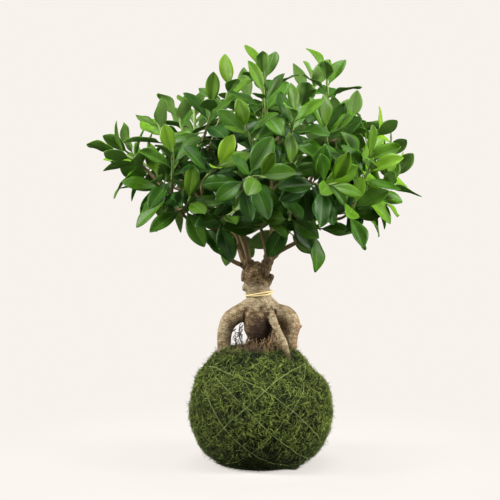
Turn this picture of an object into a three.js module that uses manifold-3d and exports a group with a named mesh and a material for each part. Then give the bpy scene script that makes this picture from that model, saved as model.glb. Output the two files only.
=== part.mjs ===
// A kokedama: a small ginseng fig that grows out of a soil ball wrapped in sheet moss and thread.
// Millimetres, +Z up, front towards -Y. The origin is the centre of the flat spot the ball rests on.
import * as THREE from "three";
import { mergeVertices } from "three/addons/utils/BufferGeometryUtils.js";
import Module from "manifold-3d";

const wasm = await Module();
wasm.setup();

// Moss and soil. The outline runs from the edge of the flat spot to the shoulder, as [radius, height]
const MOSS_OUTLINE = [
  [38, 0], [46.5, 6], [54, 11.5], [60.5, 19], [65.5, 28.5], [69.8, 42], [71, 57], [68.6, 73], [63, 86],
  [52.5, 98], [45, 108], [37, 115.3],
];
const BALL_CENTRE = 57.5;
const BALL_SEGMENTS = 24;
const INNER_RADIUS = 60.5;
const MOSS_UNDER = 7;
const MOSS_TOP = 116;
const MOSS_LIP_RADIUS = 31;
const MOUTH_RADIUS = 29;
const LEAN = -3.5;
const LEAN_FROM = 78;
const LEAN_TO = 94;
const SOIL_TOP = 115;
const GAP = 0.3;
const ROOT_HOLE_GAP = 0.4;

// Thread windings: how steep each turn is and which way its high side faces, in degrees
const THREAD_RADIUS = 0.45;
const THREAD_STANDOFF = 1.7;
const THREAD_SEGMENTS = 22;
const STRAND_SIDES = 3;
const THREAD_TURNS = [[49, 323], [43, 158], [49, 200], [44, 356]];

// The raffia tie round the neck: two strands that cross
const TIE_CENTRE = [-2, 0, 172.5];
const TIE_RADIUS = 14;
const TIE_STRAND = 0.9;
const TIE_SEGMENTS = 18;
const TIE_TILTS = [[-5, 4], [-11, -5]];

// Wood: every row is a point on the centreline and the radius there, [x, y, z, r]
const STEM = [
  [-1, -2, 105, 3], [-1, -3, 112.5, 3.4], [-1, -4, 120, 5], [-1, -4, 127.5, 12.4], [-1, -4, 135, 15.4],
  [-1, -3.5, 143, 16], [-1, -3, 150.5, 15.3], [-1.5, -2, 158, 14], [-2, -1, 165.5, 12.4],
  [-2.5, 0, 173, 11.8], [-4, 0, 180.5, 12.2], [-4.8, 0, 188, 13], [-5, 0, 195.5, 13.2], [-4.5, 0, 203, 8.5],
];
const ROOTS = {
  left: [
    [-6, 0, 161, 9.8], [-16, -1, 155, 9], [-27, -2, 149.5, 8.7], [-33.5, -3, 142, 8],
    [-36.5, -4, 131.5, 7.2], [-37.4, -4, 116, 6.5], [-37, -3, 104, 5.6], [-35.5, -2, 92, 3.8],
  ],
  right: [
    [4, 0, 161, 10.2], [14, -1, 154, 9.4], [24, -2, 150, 10.2], [29.3, -3, 142, 10.2],
    [28.8, -3, 130.5, 8.4], [30, -3, 116, 6.5], [30, -2, 102, 5.6], [29, 0, 92, 3.8],
  ],
  diagonal: [
    [4, -8, 165, 5.5], [8, -14, 156, 4.6], [14, -19, 143, 4], [20, -23, 131, 3.6], [25, -26, 118, 3.3],
    [27, -27, 106, 2.8], [28, -27, 96, 2],
  ],
  back: [
    [-3, 5, 163, 8.5], [-3, 17, 156, 7.6], [-4, 28, 146, 7], [-5, 34, 131, 6.2], [-6, 36, 115, 5.7],
    [-6, 35, 100, 4.6], [-5, 34, 91, 3],
  ],
  backRight: [
    [5, 8, 161, 7.5], [10, 17, 155, 6.6], [14, 24, 146, 5.8], [15.5, 28, 133, 5.2], [15.5, 29, 117, 4.6],
    [15, 28, 101, 3.6], [14, 27, 92, 2.4],
  ],
};
const STEM_SIDES = 12;
const ROOT_SIDES = { left: 10, right: 10, diagonal: 6, back: 8, backRight: 6 };
// Old pruning wounds on the stump, and a spur on the right root
const STUB_SIDES = 7;
const STUBS = [
  [[-9.5, -3, 192, 5.5], [-12.5, -3, 206, 4]],
  [[5, -2, 182, 5], [11.5, -2, 191, 2.4]],
  [[-11, -2, 178, 5], [-18.4, -3, 179, 3.2]],
  [[-12, -1, 186, 5], [-19.4, -2, 187.5, 2.8]],
  [[34, -3, 142, 3.4], [41, -4, 139, 1]],
];

// The crown: each limb's centreline, and its shoots as [share along the limb, tip x, y, z, leaves,
// seed of its random numbers]
const CROWN = {
  left_low: {
    wood: [
      [-11, -2, 196, 2.8], [-19, -4, 201, 2.3], [-27, -7, 205, 2.1], [-40, -13, 214, 1.9],
      [-52, -18, 225, 1.8], [-67, -24, 243, 1.7], [-80, -27, 257, 1.6], [-94, -26, 276, 1.5],
      [-105, -22, 289, 1.4],
    ],
    shoots: [
      [1, -143, -13, 315, 8, 6257], [0.77, -100, -56, 292, 7, 2143], [0.72, -69, -78, 271, 7, 9131],
      [0.5, -50, -43, 260, 6, 3094], [0.8, -84, -84, 315, 7, 5798],
    ],
  },
  left_main: {
    wood: [
      [-10, 1, 194, 4], [-17, 2, 205, 3.2], [-22, 4, 220, 2.9], [-27, 7, 233, 2.7], [-38, 10, 253, 2.5],
      [-54, 12, 278, 2.2], [-66, 12, 300, 2], [-73, 10, 318, 1.7],
    ],
    shoots: [
      [1, -82, 14, 348, 6, 2121], [0.9, -47, -47, 360, 8, 462], [0.82, -31, -13, 379, 8, 5285],
      [0.86, -68, 52, 353, 7, 4673], [0.7, -135, 26, 313, 8, 3390],
    ],
  },
  left_front: {
    wood: [
      [-22, 4, 218, 2.2], [-34, -14, 229, 2], [-50, -38, 245, 1.8], [-56, -56, 264, 1.6],
      [-57, -68, 278, 1.4],
    ],
    shoots: [[1, -38, -101, 304, 7, 6590], [0.7, -29, -85, 258, 6, 9161], [0.85, -100, -31, 341, 6, 2514]],
  },
  front: {
    wood: [
      [-11, -6, 198, 2.8], [-13, -16, 214, 2.3], [-17, -36, 236, 2.1], [-20, -58, 258, 1.9],
      [-20, -76, 276, 1.6],
    ],
    shoots: [[1, 0, -134, 295, 8, 8959], [0.45, 10, -64, 254, 4, 7253], [0.75, 29, -96, 303, 6, 2219]],
  },
  centre: {
    wood: [
      [6, 0, 206, 2.2], [4, 1, 219, 1.8], [1, 3, 233, 1.7], [-1, 4, 246, 1.7], [0, 5, 272, 1.7],
      [3, 5, 312, 1.5], [5, 4, 345, 1.4],
    ],
    shoots: [
      [1, 2, -4, 396, 8, 566], [0.85, 2, -62, 372, 8, 5708], [0.8, 56, 60, 381, 8, 6146],
      [0.72, -14, -89, 339, 8, 6042],
    ],
  },
  right_main: {
    wood: [
      [3, 0, 194, 4.8], [5.5, 0, 204, 4], [8, -1, 215, 3.7], [16, -4, 225, 3.6], [24, -7, 236, 3.4],
      [31, -9, 245, 3.3], [45, -10, 255, 3], [57, -8, 266, 2.7], [63, -5, 284, 2.4], [65, -5, 310, 2.1],
      [66, -8, 335, 1.8],
    ],
    shoots: [
      [1, 64, -20, 390, 8, 1831], [0.93, 94, 55, 347, 8, 894], [0.82, 120, 10, 333, 8, 3245],
      [0.74, 104, -70, 312, 8, 2857], [0.9, 62, -63, 337, 8, 292],
    ],
  },
  centre_right: {
    wood: [
      [31, -9, 245, 2.6], [30, -20, 264, 2], [30, -38, 287, 1.8], [29, -56, 306, 1.6], [28, -68, 318, 1.4],
    ],
    shoots: [[1, 32, -99, 353, 8, 1023], [0.72, 66, -122, 288, 8, 1912], [0.3, 26, -84, 252, 6, 707]],
  },
  right_low: {
    wood: [
      [7, 3, 195, 3.2], [11, 4, 205, 2.6], [18, 2, 214, 2.3], [33, -6, 223, 1.9], [43, -14, 231, 1.8],
      [58, -22, 243, 1.7], [82, -30, 259, 1.6], [99, -32, 270, 1.4],
    ],
    shoots: [
      [1, 135, -18, 293, 8, 1197], [0.86, 123, -51, 289, 8, 1973], [0.72, 87, -98, 267, 6, 8438],
      [0.5, 58, -44, 247, 5, 6105], [0.42, 39, -62, 256, 4, 11], [0.8, 103, -96, 306, 7, 9502],
    ],
  },
  back_left: {
    wood: [
      [-9, 7, 194, 3.6], [-18, 20, 215, 2.9], [-30, 38, 239, 2.5], [-46, 56, 264, 2.1], [-58, 64, 290, 1.8],
    ],
    shoots: [
      [1, -66, 103, 337, 7, 8969], [0.8, -129, 86, 294, 7, 7031], [0.72, -25, 117, 277, 7, 237],
      [0.6, -77, 100, 257, 5, 1454], [0.45, -25, 92, 235, 6, 4366], [0.7, -113, 44, 280, 7, 3732],
    ],
  },
  back: {
    wood: [[2, 7, 194, 3.4], [9, 20, 215, 2.7], [12, 42, 248, 2.3], [10, 58, 292, 1.8], [9, 64, 325, 1.5]],
    shoots: [[1, -16, 94, 366, 7, 2264], [0.9, 39, 115, 354, 7, 3896], [0.65, 5, 130, 317, 7, 6255]],
  },
  back_right: {
    wood: [
      [5, 7, 194, 3.6], [13, 22, 215, 2.9], [28, 42, 240, 2.5], [46, 56, 266, 2.1], [54, 62, 292, 1.8],
    ],
    shoots: [
      [1, 79, 103, 336, 7, 633], [0.82, 136, 78, 311, 7, 5721], [0.65, 107, 39, 256, 7, 3912],
      [0.72, 51, 108, 277, 6, 638], [0.45, 31, 77, 230, 5, 1111],
    ],
  },
};
const LIMB_SIDES = 5;

// Shoots: each is a slim twig that carries its leaves in a spiral on its last stretch
const TWIG_SAG = 0.16;
const TWIG_CARRY = 0.45;
const FOOT_RADIUS = 1.7;
const TIP_RADIUS = 1.05;
const FOOT_GAP = 0.5;
const FOOT_STEP = 0.1;
const BUD_LENGTH = 9;
const FIRST_LEAF = 3;
const LEAF_STEP = 4.6;
const SPIRAL_TURN = 137.5;
const SPIRAL_SPREAD = 20;
const THIRD = 120;
const PITCH_YOUNG = 30;
const PITCH_OLD = 80;
const PITCH_SPREAD = 14;
const PITCH_LEAST = 24;
const AXIS_REFERENCE = new THREE.Vector3(0.6, 0.64, -0.48);
const DRAW_FACTOR = 16807;
const DRAW_RANGE = 2147483647;

// One leaf
const LEAF_LENGTH = 42;
const LENGTH_RANGE = [0.88, 1.08];
const YOUNGEST_SHARE = 0.8;
const GROWING_RATE = 1.8;
const WIDTH_SHARE = 0.44;
const WIDTH_RANGE = [0.9, 1.1];
const ARCH_RANGE = [0.08, 0.24];
const PETIOLE_SHARE = 0.15;
const PETIOLE_WIDTH = 0.04;
const WIDEST_SHIFT = 1.15;
const BLADE_FULLNESS = 0.72;
const LEAF_FOLD = 0.22;
const LEAF_THICKNESS = 0.7;
const LEAF_STATIONS = [PETIOLE_SHARE, 0.43, 0.75];
const UPWARD_PULL = 0.3;
const WEIGHT_PULL = 0.6;
const CROWN_CENTRE = new THREE.Vector3(-5, 0, 265);
const STEMWARD = 0.8;
const SKYWARD = 0.5;
const OUTWARD = 0.6;

// How leaves keep out of each other's way
const LEAF_CLEARANCE = 4.4;
const SIBLING_CLEARANCE = 2.4;
const WOOD_CLEARANCE = 2.6;
const NEIGHBOUR_RANGE = 48;
const SWINGS = [0, 15, -15, 30, -30, 45, -45];
const LIFTS = [0, 12, -12, 24];
const SAMPLE_T = [0.17, 0.28, 0.4, 0.52, 0.64, 0.76, 0.88, 1];
const SAMPLE_V = [-1, -0.5, 0, 0.5, 1];
const LIMB_SAMPLES = 40;
const TWIG_SAMPLES = 30;
const FOOT_SAMPLES = 160;

const MATERIALS = {
  moss: new THREE.MeshStandardMaterial({ color: "#5a6e2b", roughness: 0.95, metalness: 0 }),
  soil: new THREE.MeshStandardMaterial({ color: "#2e2418", roughness: 1, metalness: 0 }),
  thread: new THREE.MeshStandardMaterial({ color: "#8fa05a", roughness: 0.6, metalness: 0 }),
  raffia: new THREE.MeshStandardMaterial({ color: "#cdb06a", roughness: 0.7, metalness: 0 }),
  bark: new THREE.MeshStandardMaterial({ color: "#83725a", roughness: 0.85, metalness: 0 }),
  leaf: new THREE.MeshStandardMaterial({ color: "#2f6b1c", roughness: 0.35, metalness: 0 }),
};

const radians = THREE.MathUtils.degToRad;
const degrees = THREE.MathUtils.radToDeg;
const vector = (row) => new THREE.Vector3(row[0], row[1], row[2]);
const within = ([least, most], share) => least + (most - least) * share;

// Manifold solids from three.js geometry and back

function solidOf(geometry) {
  const bare = geometry.clone();
  bare.deleteAttribute("normal");
  bare.deleteAttribute("uv");
  const merged = mergeVertices(bare, 1e-4);
  return new wasm.Manifold(
    new wasm.Mesh({
      numProp: 3,
      vertProperties: new Float32Array(merged.attributes.position.array),
      triVerts: new Uint32Array(merged.index.array),
    }),
  );
}

function meshOf(name, solid, material) {
  const data = solid.getMesh();
  const points = new Float32Array(data.numVert * 3);
  for (let i = 0; i < data.numVert; i++) {
    points.set(data.vertProperties.subarray(i * data.numProp, i * data.numProp + 3), i * 3);
  }
  const geometry = new THREE.BufferGeometry();
  geometry.setAttribute("position", new THREE.BufferAttribute(points, 3));
  geometry.setIndex(new THREE.BufferAttribute(new Uint32Array(data.triVerts), 1));
  const mesh = new THREE.Mesh(geometry, material);
  mesh.name = name;
  return mesh;
}

const joined = (solids) => solids.reduce((whole, piece) => whole.add(piece));

// Tapered tubes along curves

function splineOf(rows) {
  const curve = new THREE.CatmullRomCurve3(rows.map(vector), false, "catmullrom", 0.5);
  const radius = (t) => {
    const at = Math.min(t * (rows.length - 1), rows.length - 1 - 1e-9);
    const i = Math.floor(at);
    return rows[i][3] + (rows[i + 1][3] - rows[i][3]) * (at - i);
  };
  return { curve, radius };
}

// A capped cylinder bent along a curve, with its radius given along the way
function tube(curve, radius, sides, steps) {
  const geometry = new THREE.CylinderGeometry(1, 1, 1, sides, steps);
  const frames = curve.computeFrenetFrames(steps, false);
  const centres = Array.from({ length: steps + 1 }, (_, i) => curve.getPointAt(i / steps));
  const position = geometry.getAttribute("position");
  for (let i = 0; i < position.count; i++) {
    const ring = Math.round((0.5 - position.getY(i)) * steps);
    const point = centres[ring]
      .clone()
      .addScaledVector(frames.normals[ring], position.getX(i) * radius(ring / steps))
      .addScaledVector(frames.binormals[ring], position.getZ(i) * radius(ring / steps));
    position.setXYZ(i, point.x, point.y, point.z);
  }
  const solid = solidOf(geometry);
  return solid.volume() > 0 ? solid : solidOf(turnedInsideOut(geometry));
}

function turnedInsideOut(geometry) {
  const index = geometry.index.array;
  for (let i = 0; i < index.length; i += 3) {
    [index[i + 1], index[i + 2]] = [index[i + 2], index[i + 1]];
  }
  return geometry;
}

function rowTube(rows, sides, steps, extra = 0) {
  const { curve, radius } = splineOf(rows);
  return tube(curve, (t) => radius(t) + extra, sides, steps);
}

// Moss cover and soil ball

function latitudePoint(radius, latitude) {
  const angle = radians(latitude);
  return new THREE.Vector2(radius * Math.cos(angle), BALL_CENTRE + radius * Math.sin(angle));
}

// How far the outside of the moss is from the ball's centre at an upward angle, in radians
function mossReach(angle) {
  const outline = MOSS_OUTLINE.map(([radius, height]) => new THREE.Vector2(radius, height - BALL_CENTRE));
  const next = outline.findIndex((point) => Math.atan2(point.y, point.x) > angle);
  const [low, high] = [outline[next - 1], outline[next]];
  const way = new THREE.Vector2(Math.cos(angle), Math.sin(angle));
  return low.cross(high) / way.cross(high.clone().sub(low));
}

// The ball's shoulders lean to the left: how far a point moves sideways at its height
const leanAt = (height) => LEAN * THREE.MathUtils.clamp((height - LEAN_FROM) / (LEAN_TO - LEAN_FROM), 0, 1);

function latheSolid(profile) {
  const geometry = new THREE.LatheGeometry(profile, BALL_SEGMENTS);
  geometry.rotateX(Math.PI / 2);
  const position = geometry.getAttribute("position");
  for (let i = 0; i < position.count; i++) {
    position.setX(i, position.getX(i) + leanAt(position.getZ(i)));
  }
  const solid = solidOf(geometry);
  return solid.volume() > 0 ? solid : solidOf(turnedInsideOut(geometry));
}

// Where a sphere round the ball's centre meets a height or a radius, as a latitude in degrees
const latitudeAtHeight = (radius, height) => degrees(Math.asin((height - BALL_CENTRE) / radius));
const latitudeAtRadius = (radius, across) => degrees(Math.acos(across / radius));

function arc(radius, from, to, count) {
  const latitude = (i) => from + ((to - from) * i) / (count - 1);
  return Array.from({ length: count }, (_, i) => latitudePoint(radius, latitude(i)));
}

function mossCover() {
  const floorLatitude = latitudeAtHeight(INNER_RADIUS, MOSS_UNDER);
  const profile = [
    new THREE.Vector2(0, 0),
    ...MOSS_OUTLINE.map((point) => new THREE.Vector2(...point)),
    new THREE.Vector2(MOSS_LIP_RADIUS, MOSS_TOP),
    ...arc(INNER_RADIUS, latitudeAtRadius(INNER_RADIUS, MOUTH_RADIUS), floorLatitude, 5),
    new THREE.Vector2(0, MOSS_UNDER),
  ];
  return latheSolid(profile);
}

function soilBall() {
  const radius = INNER_RADIUS - GAP;
  const across = MOUTH_RADIUS - GAP;
  const profile = [
    new THREE.Vector2(0, MOSS_UNDER + GAP),
    ...arc(radius, latitudeAtHeight(radius, MOSS_UNDER + GAP), latitudeAtRadius(radius, across), 5),
    new THREE.Vector2(0, SOIL_TOP),
  ];
  return latheSolid(profile);
}

// Thread and tie

// A turn of thread starts as a ring of radius 1, and each point moves out until it stands off the moss
function threadTurn([steepness, heading]) {
  const turn = new THREE.TorusGeometry(1, THREAD_RADIUS, STRAND_SIDES, THREAD_SEGMENTS);
  const position = turn.getAttribute("position");
  for (let i = 0; i < position.count; i++) {
    const out = new THREE.Vector3(position.getX(i), position.getY(i), 0);
    const strand = out.length() - 1;
    out.normalize();
    const side = new THREE.Vector3(0, 0, position.getZ(i));
    for (const one of [out, side]) {
      one.applyAxisAngle(new THREE.Vector3(0, 1, 0), radians(steepness));
      one.applyAxisAngle(new THREE.Vector3(0, 0, 1), radians(heading));
    }
    const reach = mossReach(Math.asin(out.z)) + THREAD_STANDOFF + strand;
    side.addScaledVector(out, reach);
    side.z += BALL_CENTRE;
    position.setXYZ(i, side.x + leanAt(side.z), side.y, side.z);
  }
  return solidOf(turn);
}

const bindingThread = () => joined(THREAD_TURNS.map(threadTurn));

function neckTie() {
  return joined(
    TIE_TILTS.map(([acrossTilt, depthTilt]) => {
      const strand = new THREE.TorusGeometry(TIE_RADIUS, TIE_STRAND, STRAND_SIDES, TIE_SEGMENTS);
      strand.rotateY(radians(acrossTilt)).rotateX(radians(depthTilt));
      return solidOf(strand.translate(...TIE_CENTRE));
    }),
  );
}

// Roots, stem and stubs, fattened by an extra amount where they are used to cut holes

function rootStock(extra) {
  return [
    rowTube(STEM, STEM_SIDES, STEM.length - 1, extra),
    ...Object.entries(ROOTS).map(([name, rows]) => rowTube(rows, ROOT_SIDES[name], rows.length + 1, extra)),
  ];
}

// Twigs and shoots

// A limb is a tube with one straight piece between each two rows, and at(t) is a point inside it
function limbOf(rows) {
  const { curve, radius } = splineOf(rows);
  const steps = rows.length - 1;
  const at = (t) => {
    const i = Math.min(Math.floor(t * steps), steps - 1);
    return curve.getPointAt(i / steps).lerp(curve.getPointAt((i + 1) / steps), t * steps - i);
  };
  return { curve, radius, steps, at };
}

// A side twig hangs a little and turns up to its tip, and the last one carries its limb on
function twigCurve(limb, share, tip) {
  const start = limb.at(share);
  const chord = start.distanceTo(tip);
  const bend = start.clone().lerp(tip, 0.5);
  if (share < 1) {
    bend.z -= TWIG_SAG * chord;
  } else {
    bend.copy(start).addScaledVector(limb.curve.getTangent(1), TWIG_CARRY * chord);
  }
  return new THREE.QuadraticBezierCurve3(start, bend, tip);
}

// Random numbers from 0 to 1 that are the same on every run
function drawsFrom(seed) {
  let state = seed;
  return () => {
    state = (state * DRAW_FACTOR) % DRAW_RANGE;
    return state / DRAW_RANGE;
  };
}

// Half the blade's width at t along the leaf, as a share of the leaf's width: a thin petiole, then a
// blade that is widest just past its middle and ends in a point
function halfWidth(t) {
  if (t <= PETIOLE_SHARE) return PETIOLE_WIDTH;
  const along = (t - PETIOLE_SHARE) / (1 - PETIOLE_SHARE);
  const blade = 0.5 * Math.sin(Math.PI * along ** WIDEST_SHIFT) ** BLADE_FULLNESS;
  return Math.max(PETIOLE_WIDTH * (1 - along), blade);
}

// A point on the blade: t runs from root to tip, v from edge to edge. The midrib is a parabola that
// droops, and the two halves rise from it
function leafPoint(leaf, t, v) {
  const half = halfWidth(t) * leaf.width;
  return leaf.root
    .clone()
    .addScaledVector(leaf.along, leaf.length * t)
    .addScaledVector(leaf.up, -leaf.length * leaf.arch * t * t + half * Math.abs(v) * LEAF_FOLD)
    .addScaledVector(leaf.across, half * v);
}

const leafSamples = (leaf) => SAMPLE_T.flatMap((t) => SAMPLE_V.map((v) => leafPoint(leaf, t, v)));

// The stem's direction at a distance back from its tip, with two directions square to it
function stemFrame(shoot, back) {
  const way = shoot.curve.getTangent(Math.min(1, 1 - back / shoot.chord));
  const side = way.clone().cross(AXIS_REFERENCE).normalize();
  return { way, side, other: way.clone().cross(side) };
}

function stemPoint(shoot, back) {
  if (back >= 0) return shoot.curve.getPoint(1 - back / shoot.chord);
  return shoot.curve.getPoint(1).addScaledVector(shoot.curve.getTangent(1), -back);
}

function outwardFrom({ side, other }, turn) {
  const angle = radians(turn);
  return side.clone().multiplyScalar(Math.cos(angle)).addScaledVector(other, Math.sin(angle));
}

// One way to set a leaf: its spiral angle and its angle to the stem, both in degrees
function setLeaf(root, frame, angle, pitch, age, size) {
  const along = frame.way
    .clone()
    .multiplyScalar(Math.cos(radians(pitch)))
    .addScaledVector(outwardFrom(frame, angle), Math.sin(radians(pitch)));
  along.z += UPWARD_PULL - WEIGHT_PULL * age;
  along.normalize();
  const up = root.clone().sub(CROWN_CENTRE).normalize().multiplyScalar(OUTWARD);
  up.addScaledVector(frame.way, STEMWARD);
  up.z += SKYWARD;
  up.addScaledVector(along, -up.dot(along)).normalize();
  return { root, along, up, across: along.clone().cross(up), ...size };
}

function isClear(samples, shoot, placed, wood) {
  const middle = samples[Math.floor(samples.length / 2)];
  for (const other of placed) {
    if (other.middle.distanceTo(middle) > NEIGHBOUR_RANGE) continue;
    const apart = other.shoot === shoot ? SIBLING_CLEARANCE : LEAF_CLEARANCE;
    if (samples.some((p) => other.samples.some((q) => p.distanceTo(q) < apart))) return false;
  }
  return !wood.some(
    (w) => w.shoot !== shoot && samples.some((p) => p.distanceTo(w.point) < w.radius + WOOD_CLEARANCE),
  );
}

function woodSamples(at, radius, count, shoot) {
  return Array.from({ length: count }, (_, i) => ({
    point: at(i / (count - 1)),
    radius: radius(i / (count - 1)),
    shoot,
  }));
}

// Every shoot with its twig, and every leaf in a place that is clear of the wood and of other leaves
function growCrown() {
  const shoots = [];
  const stem = limbOf(STEM);
  const wood = woodSamples(stem.at, stem.radius, LIMB_SAMPLES, null);
  for (const [limbName, { wood: rows, shoots: list }] of Object.entries(CROWN)) {
    const limb = limbOf(rows);
    wood.push(...woodSamples(limb.at, limb.radius, LIMB_SAMPLES, null));
    list.forEach(([share, x, y, z, count, seed], i) => {
      const curve = twigCurve(limb, share, new THREE.Vector3(x, y, z));
      const draw = drawsFrom(seed);
      const name = `${limbName}_shoot_${i + 1}`;
      const chord = curve.v0.distanceTo(curve.v2);
      const shoot = { name, limb, share, curve, chord, count, draw, phase: 360 * draw(), leaves: [] };
      shoots.push(shoot);
      wood.push(...woodSamples((t) => curve.getPoint(t), () => TIP_RADIUS, TWIG_SAMPLES, name));
      wood.push({ point: stemPoint(shoot, -BUD_LENGTH / 2), radius: TIP_RADIUS, shoot: name });
      wood.push({ point: stemPoint(shoot, -BUD_LENGTH), radius: TIP_RADIUS, shoot: name });
    });
  }
  const placed = [];
  for (const shoot of shoots) {
    for (let order = 0; order < shoot.count; order++) {
      const leaf = placeLeaf(shoot, order, placed, wood);
      if (leaf) shoot.leaves.push(leaf);
    }
  }
  return shoots;
}

// The leaf at one step of the spiral, turned and tilted as little as it takes to be clear, or none
function placeLeaf(shoot, order, placed, wood) {
  const { draw } = shoot;
  const age = order / (shoot.count - 1);
  const turn = shoot.phase + SPIRAL_TURN * order + SPIRAL_SPREAD * (draw() - 0.5);
  const pitch = PITCH_YOUNG + (PITCH_OLD - PITCH_YOUNG) * age + PITCH_SPREAD * (draw() - 0.5);
  const grown = YOUNGEST_SHARE + (1 - YOUNGEST_SHARE) * Math.min(1, GROWING_RATE * age);
  const length = LEAF_LENGTH * grown * within(LENGTH_RANGE, draw());
  const width = length * WIDTH_SHARE * within(WIDTH_RANGE, draw());
  const size = { length, width, arch: within(ARCH_RANGE, draw()) };
  const back = FIRST_LEAF + LEAF_STEP * order;
  const root = stemPoint(shoot, back);
  const frame = stemFrame(shoot, back);
  for (const [lift, swing] of LIFTS.flatMap((lift) => SWINGS.map((swing) => [lift, swing]))) {
    const leaf = setLeaf(root, frame, turn + swing, pitch + lift, age, size);
    const samples = leafSamples(leaf);
    const upright = leaf.along.angleTo(frame.way) < radians(PITCH_LEAST);
    if (upright || !isClear(samples, shoot.name, placed, wood)) continue;
    placed.push({ shoot: shoot.name, samples, middle: samples[Math.floor(samples.length / 2)] });
    return { ...leaf, order };
  }
  return null;
}

// Two triangles for the square a, b, c, d, split from a to c
const square = (a, b, c, d) => [a, b, c, a, c, d];

// The skin between two loops of four corners, with top and bottom split alike
const skin = (from, to) => [
  ...square(from[0], from[1], to[1], to[0]),
  ...square(from[1], from[2], to[2], to[1]),
  ...square(from[3], to[3], to[2], from[2]),
  ...square(from[3], from[0], to[0], to[3]),
];

// The corners of the three-sided stem at a distance back from its tip. The stem turns as it grows, by
// what the spiral turns past a third of a circle at each leaf, so that each leaf grows from one face
function stemCorners(shoot, back, radius) {
  const frame = stemFrame(shoot, back);
  const spiral = ((SPIRAL_TURN - THIRD) * (back - FIRST_LEAF)) / LEAF_STEP;
  const turn = shoot.phase - THIRD / 2 + spiral;
  return [0, THIRD, 2 * THIRD].map((corner) => {
    return stemPoint(shoot, back).addScaledVector(outwardFrom(frame, turn + corner), radius);
  });
}

// How far a point is from the nearest of a limb's centreline points, less the limb's radius there
function clearOf(limbPoints, point) {
  return Math.min(...limbPoints.map((one) => one.point.distanceTo(point) - one.radius));
}

// A shoot as one skin: the twig from its limb to the point of its bud, with every leaf drawn out of
// one face of the twig through its petiole to its tip. Each corner of the twig's foot stops just
// short of the limb's bark
function leafyShoot(shoot) {
  const points = [];
  const faces = [];
  const addPoints = (list) => list.map((point) => points.push(point) - 1);
  const radius = (back) => {
    return TIP_RADIUS + ((FOOT_RADIUS - TIP_RADIUS) * Math.max(0, back)) / shoot.chord;
  };
  const corners = (back) => stemCorners(shoot, back, radius(back));
  const joints = Array.from({ length: shoot.count + 1 }, (_, i) => FIRST_LEAF + LEAF_STEP * (i - 0.5));
  const near = woodSamples(shoot.limb.at, shoot.limb.radius, FOOT_SAMPLES, null);
  const foot = [0, 1, 2].map((corner) => {
    let back = shoot.chord - GAP;
    while (shoot.share < 1 && clearOf(near, corners(back)[corner]) < FOOT_GAP) back -= FOOT_STEP;
    return corners(back)[corner];
  });
  const bare = (shoot.chord + joints[shoot.count]) / 2;
  const rings = joints.map((back) => addPoints(corners(back)));
  const stretches = [rings[shoot.count], addPoints(corners(bare)), addPoints(foot)];
  const [bud] = addPoints([stemPoint(shoot, -BUD_LENGTH)]);
  faces.push(stretches[2][0], stretches[2][2], stretches[2][1]);
  for (let k = 0; k < 3; k++) {
    const next = (k + 1) % 3;
    faces.push(rings[0][k], rings[0][next], bud);
    for (let i = 0; i < 2; i++) {
      const [upper, lower] = [stretches[i], stretches[i + 1]];
      faces.push(...square(lower[k], lower[next], upper[next], upper[k]));
    }
    for (let order = 0; order < shoot.count; order++) {
      const [upper, lower] = [rings[order], rings[order + 1]];
      const leaf = order % 3 === k && shoot.leaves.find((one) => one.order === order);
      if (leaf) {
        faces.push(...leafSkin(leaf, [upper[next], upper[k], lower[k], lower[next]], addPoints));
      } else {
        faces.push(...square(lower[k], lower[next], upper[next], upper[k]));
      }
    }
  }
  const geometry = new THREE.BufferGeometry();
  const places = points.flatMap((point) => point.toArray());
  geometry.setAttribute("position", new THREE.Float32BufferAttribute(places, 3));
  geometry.setIndex(faces);
  return solidOf(geometry);
}

function leafSkin(leaf, root, addPoints) {
  const point = (t, v, side) => leafPoint(leaf, t, v).addScaledVector(leaf.up, (side * LEAF_THICKNESS) / 2);
  const loops = LEAF_STATIONS.map((t) => {
    return addPoints([point(t, -1, 1), point(t, 1, 1), point(t, 1, -1), point(t, -1, -1)]);
  });
  const [top, bottom] = addPoints([point(1, 0, 1), point(1, 0, -1)]);
  const [right, left, leftUnder, rightUnder] = loops[loops.length - 1];
  return [
    ...[root, ...loops.slice(0, -1)].flatMap((loop, i) => skin(loop, loops[i])),
    ...[right, left, top, leftUnder, rightUnder, bottom],
    ...square(left, leftUnder, bottom, top),
    ...square(rightUnder, right, top, bottom),
  ];
}

function trunkAndLimbs() {
  return joined([
    ...rootStock(0),
    ...STUBS.map((rows) => rowTube(rows, STUB_SIDES, 2)),
    ...Object.values(CROWN).map(({ wood }) => rowTube(wood, LIMB_SIDES, wood.length - 1)),
  ]);
}

const kokedama = new THREE.Group();
const shoots = growCrown();
const holes = joined(rootStock(ROOT_HOLE_GAP));
kokedama.add(meshOf("moss_cover", mossCover().subtract(holes), MATERIALS.moss));
kokedama.add(meshOf("soil_ball", soilBall().subtract(holes), MATERIALS.soil));
kokedama.add(meshOf("binding_thread", bindingThread(), MATERIALS.thread));
kokedama.add(meshOf("neck_tie", neckTie(), MATERIALS.raffia));
kokedama.add(meshOf("trunk_and_limbs", trunkAndLimbs(), MATERIALS.bark));
for (const shoot of shoots) {
  kokedama.add(meshOf(shoot.name, leafyShoot(shoot), MATERIALS.leaf));
}

export default kokedama;
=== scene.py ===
"""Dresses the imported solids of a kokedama: moss, thread, raffia, bark, rootlets and a fig's leafy crown."""

import math

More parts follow.
